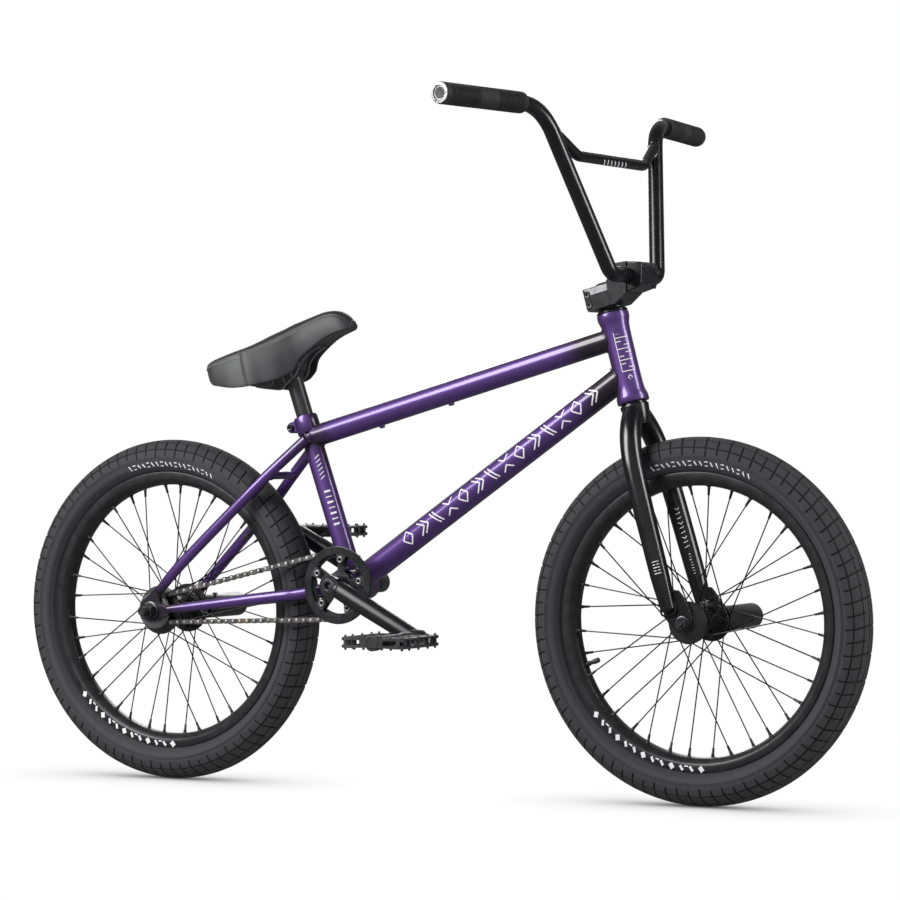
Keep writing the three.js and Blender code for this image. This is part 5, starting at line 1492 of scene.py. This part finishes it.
# ---------------------------------------------------------------- headset and stem
COVER = [(14.9, 131.9), (21.8, 131.9), (22.5, 132.4), (22.6, 133.0), (22.1, 134.2), (20.4, 135.7),
         (18.4, 136.6), (14.9, 136.7)]
cover = Mesh(head_point).add(lathe(COVER, axis=UP, seg=64))
cover.build("headset_top", "fork", "gloss_black", "gloss", ["headset_cover"], 32)
SPACER = [(14.9, 136.9), (17.3, 136.9), (17.8, 137.4), (17.8, 138.6), (17.3, 139.1), (14.9, 139.1)]
spacer = Mesh(head_point).add(lathe(SPACER, axis=UP, seg=56))
spacer.build("spacer_ring", "fork", "satin_black", "satin", ["headset_spacer"], 32)
STEERER_CAP = [(0, 172.4), (14.2, 172.4), (14.3, 174.6), (13.4, 176.0), (6, 176.2), (5, 175.2),
               (0, 175.2)]
cap = Mesh(head_point).add(lathe(STEERER_CAP, axis=UP))
cap.add(socket_bolt(vec(0, 0, 175.0), UP, r=4.6, h=1.6, socket=2.5, depth=1.3), 1)
cap.build("steerer_top", "fork", "satin_black", ["satin", "dark"], ["steerer_cap"], 32)

FACE_X, FACE_Z = 0.9653, -0.2612  # direction the stem's front face looks, in the head's frame


def on_face(up, out):
    """(x, z) at a height along the stem's front face and a distance out of it."""
    return 47.5 + FACE_X * out - FACE_Z * up, 173.4 + FACE_Z * out + FACE_X * up


# rear block seen from above: x, y; it is split behind the steerer's bore
STEM_LOW, STEM_HIGH = 139.6, 171.8
bore = [(-14.4 * cos(t), 14.4 * sin(t)) for t in np.linspace(radians(5), radians(355), 48)]
outline = [(-24.6, -23.5), (19.4, -23.5), (19.4, 26), (-24.6, 26), (-25.0, 25.6), (-25.0, 1.25)]
outline += bore + [(-25.0, -1.25), (-25.0, -23.1)]
points, faces = prism(outline, STEM_LOW, STEM_HIGH)
stem = Mesh(head_point).add(([p[[0, 2, 1]] for p in points], faces))
# right cheek with two round holes for the pinch bolts
PINCH_X, PINCH_HEIGHTS = -19.6, {"lower": 148.0, "upper": 163.2}
cheek = [(-25, 141.5), (-22.5, STEM_LOW), (19.4, STEM_LOW), (19.4, STEM_HIGH), (-25, STEM_HIGH)]
holes = [circle(PINCH_X, z, 5.3, 24) for z in PINCH_HEIGHTS.values()]
stem.add(prism(cheek, -26, -23.4, holes))
front_block = [(14.6, 139.4), (19.5, 139.4), on_face(-24.2, -0.4), on_face(19.6, -0.4),
               (34.5, 194.7), (12.9, 172.2)]
stem.add(prism(front_block, -26.15, 26.15))
# pale flat along the upper edge of the right side: a painted highlight, in the bolts' light grey
# metal, where a softbox reflects on that edge
PAINTED_HIGHLIGHT_FLAT = [(-14.2, 161.2), (13.4, 161.2), (14.2, 162.2), (14.2, 170.6), (-21.6, 170.6),
        (-22.6, 169.6), (-22.6, 168.6), (-16.6, 168.2), (-14.2, 165.8)]
stem.add(prism(PAINTED_HIGHLIGHT_FLAT, -26.7, -25.6), 1)
# material slot 1, the bolts' grey metal, colours the painted highlight flat
stem.build("stem_clamp", "fork", "gloss_black", ["anodised", "bolt"], ["stem_body"], 30,
           bevel=1.3, segments=3)
FRONT_CAP = [(-23.8, 0.8), (-18.3, 17.2), (-13.8, 23.6), (13, 23.6), (18.5, 20), (19.4, 0.8)]
cap = Mesh(head_point).add(prism([on_face(up, out) for up, out in FRONT_CAP], -26, 26))
cap.build("stem_front_cap", "fork", "gloss_black", "anodised", ["stem_cap"], 30,
          bevel=1.8, segments=3)
bolts = Mesh(head_point)
for up in (-14.4, 12.4):
    for y in (-17, 17):
        x, z = on_face(up, 22.2)
        bolts.add(socket_bolt(vec(x, y, z), vec(FACE_X, 0, FACE_Z),
                              r=4.2, h=2.3, socket=2.4, depth=1.6))
bolts.build("stem_cap_bolts", "fork", "dark_steel", "dark", sharp=30)
for level, z in PINCH_HEIGHTS.items():
    start = vec(PINCH_X, -23.3, z)
    bolt = Mesh(head_point).add(socket_bolt(start, -LEFT, r=4.6, h=3.4, socket=2.4, depth=2.0))
    bolt.add(tube([start, vec(PINCH_X, 20, z)], 2.4, 16))
    bolt.build("stem_pinch_" + level, "fork", "dark_steel", "dark",
               ["stem_pinch_bolt_" + level], 30)

# ---------------------------------------------------------------- handlebar
# from the clamp outward: lower corner, upper bend, tip; then the crossbar's two points
BAR_POINTS = [(345.83, 72.8, 746.16), (292, 176.3, 975.5), (256.2, 391, 976)]
CROSS_POINTS = [(310, 103.5, 910), (299.5, 161, 944)]
BAR_R, CROSS_R = 11.1, 7.9


def across_bar(points):
    """Points from the right end to the left end."""
    return mirror(points[::-1], -1) + mirror(points, 1)


bar = Mesh()
bar.add(tube(rounded(across_bar(BAR_POINTS), [64, 19, 19, 64], 18), BAR_R, 36, hint=AHEAD))
bar.add(tube(rounded(across_bar(CROSS_POINTS), [30, 30], 14), CROSS_R, 30, hint=UP))
for side in (-1, 1):
    corner, knee, _ = mirror(BAR_POINTS, side)
    bar.add(bead(*mirror(CROSS_POINTS, side), CROSS_R, corner, knee, BAR_R, 1.5, 56))
# fine rings on both sides of the stem
for y in np.linspace(-31, 31, 32):
    if abs(y) > 26.4:
        x, _, z = BAR_POINTS[0]
        bar.add(tube([vec(x, y - 0.2, z), vec(x, y + 0.2, z)], 11.35, 28))
bar.build("bar_tubes", "handlebar", "gloss_black", "gloss", ["handlebar"], 40)
marks = Mesh()
right_end, left_end = (mirror(CROSS_POINTS, side)[0] for side in (-1, 1))
surface = on_tube(right_end, left_end, CROSS_R, vec(0.5, -0.3, -0.35))
for k in range(7):
    s = 103.5 - 33 + k * 11
    marks.add(strokes(surface, [((s - 3, -4), (s + 3, 4))], 1.6))
marks.build("bar_marks", "handlebar", "gloss_black", "white", sharp=30)

GRIP_START_Y = 220.5


def grip_profile(length):
    """Ribbed sleeve with lower rings in its middle and a collar at each end."""
    profile = [(11.3, 0), (13.6, 0.0), (14.6, 0.6), (15.0, 1.8), (15.0, 6), (14.3, 6.6), (14.3, 7.6)]
    low_ring = [(14.9, 0.2), (15.1, 0.8), (14.9, 1.4), (14.6, 2.0), (14.6, 2.6)]
    rib = [(14.2, 0), (15.0, 0.35), (15.15, 0.9), (15.0, 1.45), (14.2, 1.8)]
    h = 8.2
    while h < length - 9:
        ring, step = (low_ring, 3.0) if 62 < h < 100 else (rib, 2.75)
        profile += [(r, h + rise) for r, rise in ring]
        h += step
    collar = [(14.4, 7), (15.0, 6.2), (15.2, 4.5), (15.2, 1.4), (14.6, 0.2), (13.9, 0), (11.3, 0)]
    return profile + [(r, length - back) for r, back in collar]


PLUG = [(0, 0.2), (13.4, 0.2), (14.2, 0.5), (14.5, 1.1), (14.5, 2.7), (13.9, 3.4), (10.6, 3.6),
        (9.9, 3.0), (9.4, 1.9), (0, 1.7)]
PLUG_FACE = [(0, 1.75), (7.6, 1.75), (8.2, 2.3), (7.2, 2.5), (5.2, 2.2), (0, 2.1)]
for side, side_name in SIDES:
    _, knee, tip = mirror(BAR_POINTS, side)
    share = (GRIP_START_Y - BAR_POINTS[1][1]) / (BAR_POINTS[2][1] - BAR_POINTS[1][1])
    start = knee + (tip - knee) * share
    axis, across, other = basis(tip - start)
    grip = Mesh().add(lathe(grip_profile(float(np.linalg.norm(tip - start))), start, axis, 56))
    grip.build("grip_sleeve_" + side_name, "handlebar", "grip_rubber", "rubber",
               ["grip_" + side_name], 28)
    plug = Mesh().add(lathe(PLUG, tip, axis), 0 if side < 0 else 1)
    for k in range(3):
        t = radians(120 * k + 30)
        centre = tip + axis * 3.2 + (across * cos(t) + other * sin(t)) * 11.6
        plug.add(socket_bolt(centre, axis, r=1.3, h=0.9, socket=0.8, depth=0.6, seg=18), 2)
    plug.add(lathe(PLUG_FACE, tip, axis, 40), 1)
    plug.build("bar_plug_" + side_name, "handlebar", "steel", ["bolt", "plastic", "dark"],
               ["bar_end_" + side_name], 32)

# ---------------------------------------------------------------- tyres
# crown to shoulder: distance from the middle plane, radius
TREAD_Y = [0, 4, 9, 14.5, 20, 24.5, 27.3, 28.9, 29.7]
TREAD_R = [TYRE_RADIUS, 258.7, 257.4, 254.9, 251.3, 247.3, 243.0, 238.6, 234.0]
# rows over the crown: y, share of the long cuts, share of the short cuts, groove depth
CROWN_ROWS = [
    (0.0, 0, 0, 0.9), (0.45, 0, 0, 0.9), (0.8, 0, 0, 0), (3.2, 0, 0, 0), (3.8, 1, 0, 0),
    (5.6, 1, 0, 0), (5.9, 1, 0, 0.9), (6.6, 1, 0, 0.9), (6.9, 1, 0, 0), (10.0, 1, 0, 0),
    (12.6, 1, 0, 0), (13.2, 1, 1, 0), (15.0, 1, 1, 0), (15.3, 1, 1, 0.8), (16.0, 1, 1, 0.8),
    (16.3, 1, 1, 0), (18.5, 1, 1, 0), (21.0, 1, 1, 0), (23.4, 1, 1, 0), (25.4, 1, 1, 0),
]
# rows down the side: radius, y, long cuts, short cuts, groove depth, sidewall share
SHOULDER_ROWS = [
    (245.2, 26.3, 1, 1, 0, 0), (244.6, 26.4, 1, 1, 0.7, 0), (243.4, 27.1, 1, 1, 0.7, 0),
    (242.8, 27.6, 1, 1, 0, 0), (240.2, 28.5, 1, 1, 0, 0), (237.0, 29.3, 1, 1, 0, 0),
    (234.4, 29.8, 1, 0, 0, 0), (232.6, 29.9, 0.6, 0, 0, 0.3), (231.6, 29.9, 0, 0, 0, 0.6),
    (231.2, 29.3, 0, 0, 0, 1.0),
]
BEAD_ROWS = [
    (212.4, 18.4, 0, 0, 0, 0.8), (211.2, 16.2, 0, 0, 0, 0.6), (210.3, 14.9, 0, 0, 0, 0.5),
    (207.5, 14.7, 0, 0, 0, 0.4), (204.4, 14.5, 0, 0, 0, 0.4),
]
WALL_R = [212.2, 214.0, 216.4, 219.0, 222.4, 226.0, 230.4]
WALL_Y = [18.2, 21.0, 24.0, 26.4, 28.3, 29.2, 29.3]
# inner face of the carcass, from the bead to the crown: radius, y
CARCASS = [(205.0, 13.2), (211.5, 13.6), (214.5, 18.0), (226, 27.0), (242, 25.2), (254, 9), (255, 0)]
TREAD_PERIODS = 84
TREAD_STEPS = [0.0, 0.035, 0.125, 0.16, 0.44, 0.72]  # places within a period; 1 and 2 are cut
LEAN = 0.42  # how far the cuts lean by the shoulder, in periods


def wall_y(r):
    return float(np.interp(r, WALL_R, WALL_Y))


def tyre_rows():
    """Rows from the crown to the bead, with SHOULDER_ROWS' columns."""
    rows = [(float(np.interp(row[0], TREAD_Y, TREAD_R)), *row, 0.0) for row in CROWN_ROWS]
    rows += SHOULDER_ROWS
    r = 230.4
    while r > 213.2:
        rows.append((r, wall_y(r), 0, 0, 0, 1.0))
        if 217.5 < r < 226.5:
            r -= 2.2
        else:
            # fine rib
            rows.append((r - 0.55, wall_y(r - 0.55) - 0.55, 0, 0, 0, 0.9))
            rows.append((r - 1.05, wall_y(r - 1.05) - 0.55, 0, 0, 0, 0.9))
            r -= 1.6
    return rows + BEAD_ROWS


def build_tyre(tag, centre, body):
    half = tyre_rows()
    rows = [(r, -y, *rest) for r, y, *rest in half[::-1]] + half[1:]
    columns = [(p, q) for p in range(TREAD_PERIODS) for q in range(len(TREAD_STEPS))]
    points, faces, fades = [], [], []

    def put(r, y, turn, fade):
        x, z = wheel_point(centre, r, 2 * pi * turn / TREAD_PERIODS)
        points.append(vec(x, y, z))
        fades.append(fade)

    for p, q in columns:
        for r, y, long_cut, short_cut, groove, wall in rows:
            cut = 1.25 * (short_cut if p % 2 else long_cut) if q in (1, 2) else 0.0
            depth = 0 if r < 231.3 else max(cut, groove)
            lean = LEAN * (abs(y) / 29.9) ** 1.6 if wall < 0.9 else LEAN
            # dig along the normal of a torus
            out_r, out_y = r - 229.0, y * 0.95
            length = hypot(out_r, out_y)
            # -0.9 marks points down in the cuts, which the tyre's material colours as painted shade
            fade = -0.9 if depth > 0.5 and wall < 0.5 else wall
            put(r - depth * out_r / length, y - depth * out_y / length,
                p + TREAD_STEPS[q] - lean, fade)
    inner = CARCASS + [(r, -y) for r, y in CARCASS[-2::-1]]
    base, m, k = len(points), len(rows), len(inner)
    for p, q in columns:
        for r, y in inner:
            put(r, y, p + TREAD_STEPS[q] - LEAN, 0.4)

    def strip(a, b, count):
        """Quads between two neighbouring columns that start at a and b."""
        return [[a + i, b + i, b + i + 1, a + i + 1] for i in range(count - 1)]

    nexts = [(c, (c + 1) % len(columns)) for c in range(len(columns))]
    for c, c2 in nexts:
        faces += strip(c * m, c2 * m, m)
    for c, c2 in nexts:
        a, b = base + c * k, base + c2 * k
        faces += strip(a, b, k)
        faces.append([c * m + m - 1, c2 * m + m - 1, b, a])
        faces.append([a + k - 1, b + k - 1, c2 * m, c * m])
    tyre = Mesh().add((points, faces), fade=fades)
    tyre.build("tyre_" + tag, body, "tyre_rubber", "tyre", [tag + "_tyre"], 38)


def build_tyre_dashes(tag, centre, body):
    """White dashes on both sidewalls, near the top of the wheel."""
    radius = 222
    dashes = Mesh()
    for side, middle in ((-1, 86), (1, 94)):
        surface = on_disc(centre, side, radius,
                          lambda w: float(np.interp(radius + w, WALL_R[2:6], WALL_Y[2:6])))
        for k in range(19):
            s = radians(middle) * radius + (k - 9) * 8.4
            w = 2.9 if k % 6 else 3.4
            lines, width = [((s - 1.6, -w), (s + 1.6, w))], 1.7
            if k % 3 == 2:
                lines, width = [((s - 2.4, v), (s + 2.4, v)) for v in (-w, w)], 1.3
            dashes.add(strokes(surface, lines, width, lift=0.3, sink=0.6, cut=2.0))
    dashes.build("tyre_dashes_" + tag, body, "tyre_rubber", "white", sharp=30)


# ---------------------------------------------------------------- rims, spokes and hubs
# half of the rim's section: radius, y
RIM = [
    (190.2, 0), (190.5, 5.5), (192.4, 9.8), (198.2, 16.3), (199.6, 17.0), (203.0, 17.2),
    (208.6, 17.6), (209.8, 17.3), (210.2, 16.4), (209.8, 15.5), (208.2, 14.9), (205.0, 14.3),
    (203.4, 13.2), (200, 9), (198.4, 4), (198, 0),
]


def build_rim(tag, centre, body):
    rim = Mesh().add(lathe(RIM + [(r, -y) for r, y in RIM[-2:0:-1]], centre, LEFT, 180))
    rim.build("rim_" + tag, body, "satin_black", "rim", [tag + "_rim"], 32)
    radius = 205.4
    marks = Mesh()
    for side, middle in ((-1, 247), (1, 293)):
        surface = on_disc(centre, side, radius, lambda w: 17.36 + 0.05 * w)
        for k in range(13):
            s, w = radians(middle + (k - 6) * 4.3) * radius, 3.1
            width = 3.6 if k % 3 else 6.4
            marks.add(strokes(surface, [((s - 3.6, -w), (s + 1.4, w))], width, 0.25, 0.5))
            if k % 3 == 1:
                marks.add(strokes(surface, [((s + 3.2, -w), (s + 9.0, -w))], 1.8, 0.25, 0.5))
    marks.build("rim_marks_" + tag, body, "satin_black", "white", sharp=30)


FLANGE_R = 25.5
# each tyre-side part has its own material slot 0 (sleeve) or 1 (cap)
VALVE = [(0, 199), (4.2, 199), (4.2, 190), (3.9, 186), (3.1, 184), (3.1, 178), (2.6, 177.4),
         (2.6, 172), (0, 172)]
VALVE_CAP = [(0, 178.4), (3.9, 178.4), (3.9, 171.6), (3.4, 169.6), (2.2, 168.8), (0, 168.8)]
EYELET = [(0, 189.2), (2.9, 189.3), (3.4, 190.0), (3.4, 191.6), (0, 191.6)]
SPOKE_HEAD = [(0, -0.3), (1.8, -0.3), (1.8, 0.35), (1.1, 0.9), (0, 1.0)]


def spoke_layout(flanges):
    """(side, rim angle, hub angle, way the spoke leaves its flange, that face, head's face)."""
    layout = []
    for side, offset, (inner, outer) in ((-1, 0, flanges[0]), (1, 10, flanges[1])):
        for k in range(18):
            angle = radians(offset + 20 * k + 5)
            if k % 2 == 0:
                layout.append((side, angle, angle - radians(60), side, outer, inner))
            else:
                layout.append((side, angle, angle + radians(60), -side, inner, outer))
    return layout


def build_wheel(tag, centre, body, flanges, valve_angle, hub_profile):
    """flanges holds the y of each flange's inner and outer face, right then left."""
    build_tyre(tag, centre, body)
    build_tyre_dashes(tag, centre, body)
    build_rim(tag, centre, body)
    spokes, nipples, heads = Mesh(), Mesh(), Mesh()
    for side, rim_angle, hub_angle, way, face, head_face in spoke_layout(flanges):
        x, z = wheel_point(centre, FLANGE_R, hub_angle)
        foot = vec(x, face + way * 1.1, z)
        heads.add(lathe(SPOKE_HEAD, vec(x, head_face, z), -way * LEFT, 12))
        x, z = wheel_point(centre, 191.5, rim_angle)
        end = vec(x, side * 3.4, z)
        along = unit(end - foot)
        elbow = foot - way * 2.4 * LEFT
        spokes.add(tube([elbow, foot, foot + along * 1.6, end - along * 4], 0.95, 8))
        path = [end + along * s for s in (-14.5, -13.6, -5.5, -5.0, 1.0)]
        nipples.add(tube(path, [1.15, 1.75, 1.95, 2.4, 2.4], 12))
        out = vec(cos(rim_angle), 0, sin(rim_angle))
        nipples.add(lathe(EYELET, vec(centre[0], side * 3.6, centre[2]), out, 14))
    spokes.build("spokes_" + tag, body, "steel", "spoke", [tag + "_spokes"], 40)
    nipples.build("nipples_" + tag, body, "steel", "anodised", sharp=40)
    hub = Mesh().add(lathe(hub_profile, centre, LEFT, 64))
    hub.build("hub_" + tag, body, "satin_black", "anodised", [tag + "_hub"], 30)
    heads.build("spoke_heads_" + tag, body, "steel", "spoke", sharp=40)
    out = vec(cos(radians(valve_angle)), 0, sin(radians(valve_angle)))
    valve = Mesh().add(lathe(VALVE, centre, out, 20)).add(lathe(VALVE_CAP, centre, out, 20), 1)
    valve.build("valve_" + tag, body, "tube_rubber", ["tube", "plastic"], sharp=32)


# left half of the front hub from its end to the middle: radius, y
FRONT_HUB_HALF = [
    (9.0, 45.6), (15.2, 45.6), (16.8, 44.8), (17.2, 43.6), (17.2, 36), (18.8, 34.6), (27.6, 34.0),
    (28.8, 33.6), (29.0, 32.9), (29.0, 31.8), (28.6, 31.2), (27.4, 30.8), (19.4, 30.2),
    (16.6, 27), (16.0, 22), (15.4, 12),
]
FRONT_HUB = [(r, -y) for r, y in FRONT_HUB_HALF] + FRONT_HUB_HALF[::-1]
REAR_HUB = [
    (15.6, -34.6), (19.6, -34.6), (20.5, -33.8), (20.5, -31), (22, -30.2), (27.6, -29.9),
    (28.8, -29.6), (29.0, -28.9), (29.0, -27.9), (28.6, -27.3), (27.4, -26.9), (22.4, -26.4),
    (20.2, -23.5), (19.5, -19), (19.0, -8), (19.0, 8), (19.5, 21), (20.2, 26.5), (22.4, 29.4),
    (27.4, 29.9), (28.6, 30.3), (29.0, 30.9), (29.0, 31.9), (28.8, 32.6), (27.6, 33.0),
    (22, 33.3), (20.2, 34.4), (19.6, 36), (19, 40), (19, 46.8), (18.2, 48), (15.6, 48),
]
build_wheel("front", FRONT, "front_wheel", ((-31.0, -34.0), (31.0, 34.0)), 200, FRONT_HUB)
build_wheel("rear", REAR, "rear_wheel", ((-27.0, -30.0), (30.0, 33.0)), 40, REAR_HUB)
# discs on both sides of the rear hub: radius, y
REAR_GUARDS = {
    "inner": [(16.5, -35.0), (36.4, -35.0), (37.0, -35.5), (36.8, -36.6), (34.4, -37.4),
              (30.2, -38.0), (16.5, -38.0)],
    "left": [(20.8, 37.8), (36.4, 37.8), (37.0, 38.3), (36.8, 39.4), (34.4, 40.3),
             (30.2, 41.0), (20.8, 41.0)],
}
for which, profile in REAR_GUARDS.items():
    guard = Mesh().add(lathe(profile, REAR, LEFT, 72))
    guard.build("guard_rear_" + which, "rear_wheel", "black_plastic", "guard",
                ["rear_hub_guard_" + which], 32)

# ---------------------------------------------------------------- CAD pieces kept as they are
KEPT = {"inner_tube": "tube", "bearing": "steel"}
# frame may be a dictionary of pieces; otherwise they are looked up in the scene
if isinstance(frame, dict):
    pieces = list(frame.values())
else:
    pieces = [ob for ob in scene.objects if ob.type == "MESH"]
for piece in pieces:
    for word, key in KEPT.items():
        if word in getattr(piece, "name", ""):
            piece.data.materials.clear()
            piece.data.materials.append(MATERIALS[key])


# ---------------------------------------------------------------- floor and world
def floor_material():
    """White floor: the camera sees a painted contact shadow, an emission darkened by ambient
    occlusion, and reflections a dim even glow.
    """
    material, nodes, shader = new_material("floor_white")
    nodes.feed(shader, Base_Color=(0.8, 0.8, 0.8), Roughness=0.9, Specular_IOR_Level=0.0)
    contact = nodes.add("AmbientOcclusion", Distance=0.16, samples=12, out="AO")
    shade = nodes.ramp(contact, (0.0, (0.03, 0.03, 0.03)), (0.45, (0.52, 0.52, 0.52)),
                       (0.93, WHITE))
    seen = nodes.add("Emission", Color=shade)
    glow = nodes.add("Emission", Color=WHITE, Strength=0.12)
    surface = nodes.by_ray(others=shader.outputs[0], glossy=glow, camera=seen)
    nodes.feed(nodes.tree.nodes["Material Output"], Surface=surface)
    return material


floor_mesh = bpy.data.meshes.new("floor")
floor_mesh.from_pydata([(-6, -6, 0), (6, -6, 0), (6, 6, 0), (-6, 6, 0)], [], [(0, 1, 2, 3)])
floor = bpy.data.objects.new("floor", floor_mesh)
scene.collection.objects.link(floor)
floor_mesh.materials.append(floor_material())
floor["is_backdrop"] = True

# soft lobes seen only in reflections: direction, cosine at the rim and at the core, strength
LOBES = [
    ((0.5, -0.86, 0.05), 0.55, 0.95, 0.30),
    ((0.5, -0.86, -0.6), 0.80, 0.98, 0.20),
    ((-0.5, 0.86, 0.5), 0.6, 0.95, 0.30),
]


def build_world():
    world = bpy.data.worlds.new("studio")
    scene.world = world
    world.use_nodes = True
    nodes = Nodes(world.node_tree)
    nodes.tree.nodes.clear()
    output = nodes.tree.nodes.new("ShaderNodeOutputWorld")
    seen = nodes.add("Background", Color=WHITE, Strength=1.0)
    ambient = nodes.add("Background", Color=WHITE, Strength=0.15)
    coords = nodes.add("TexCoord", out="Generated")
    total = None
    for direction, rim, core, strength in LOBES:
        cosine = nodes.add("VectorMath", coords, tuple(unit(direction)),
                           operation="DOT_PRODUCT", out="Value")
        lobe = nodes.add("MapRange", cosine, interpolation_type="SMOOTHSTEP",
                         From_Min=rim, From_Max=core, To_Min=0.0, To_Max=strength)
        total = nodes.add("Math", total, lobe, operation="ADD") if total else lobe
    total = nodes.add("Math", total, 0.035, operation="ADD")
    reflected = nodes.add("Background", Color=WHITE, Strength=total)
    nodes.feed(output, Surface=nodes.by_ray(others=ambient, glossy=reflected, camera=seen))


build_world()


# ---------------------------------------------------------------- lights and camera
def area_light(name, location, target, size, power, glossy=True):
    """Rectangular light; places and sizes in metres, power in watts."""
    light = bpy.data.lights.new(name, "AREA")
    light.shape, light.energy = "RECTANGLE", power
    light.size, light.size_y = size
    ob = bpy.data.objects.new(name, light)
    ob.location = location
    aim = Vector(target) - Vector(location)
    ob.rotation_euler = aim.to_track_quat("-Z", "Y").to_euler()
    scene.collection.objects.link(ob)
    ob.visible_camera = False
    ob.visible_glossy = glossy
    ob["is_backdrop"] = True


area_light("key_left", (-1.44, -2.24, 2.2), target=(0, 0, 0.45), size=(1.7, 2.3), power=135)
area_light("strip_right", (2.85, 0.34, 1.6), target=(0, 0, 0.5), size=(0.8, 2.4), power=56)
area_light("overhead", (0, 0.3, 3.2), target=(0, 0, 0.4), size=(2.6, 1.6), power=14, glossy=False)
area_light("back_left", (-1.6, 3.0, 1.8), target=(0, 0, 0.5), size=(1.4, 1.4), power=30)

CAMERA_PLACE = (2489.3025, -4271.2685, 515.4797)
YAW, PITCH_DOWN, ROLL = 0.5200218, 0.0030531, -0.0055453  # radians
LENS = 134.91332


def build_camera():
    camera = bpy.data.cameras.new("cam")
    ob = bpy.data.objects.new("cam", camera)
    scene.collection.objects.link(ob)
    view = vec(-sin(YAW) * cos(PITCH_DOWN), cos(YAW) * cos(PITCH_DOWN), -sin(PITCH_DOWN))
    level = vec(cos(YAW), sin(YAW), 0)
    up = np.cross(level, view)
    right, top = cos(ROLL) * level + sin(ROLL) * up, -sin(ROLL) * level + cos(ROLL) * up
    rows = [[float(right[i]), float(top[i]), float(-view[i])] for i in range(3)]
    matrix = Matrix(rows).to_4x4()
    matrix.translation = Vector(CAMERA_PLACE) / 1000
    ob.matrix_world = matrix
    camera.sensor_width = 36.0
    camera.lens = LENS
    camera.clip_end = 60
    scene.camera = ob
    ob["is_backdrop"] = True


build_camera()
scene.view_settings.view_transform = "Standard"
scene.view_settings.look = "None"
scene.view_settings.exposure = 0.0

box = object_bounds()
sizes = {"cad": cad_box, "visual": box}
{key: [list(map(float, row)) for row in rows] for key, rows in sizes.items()}
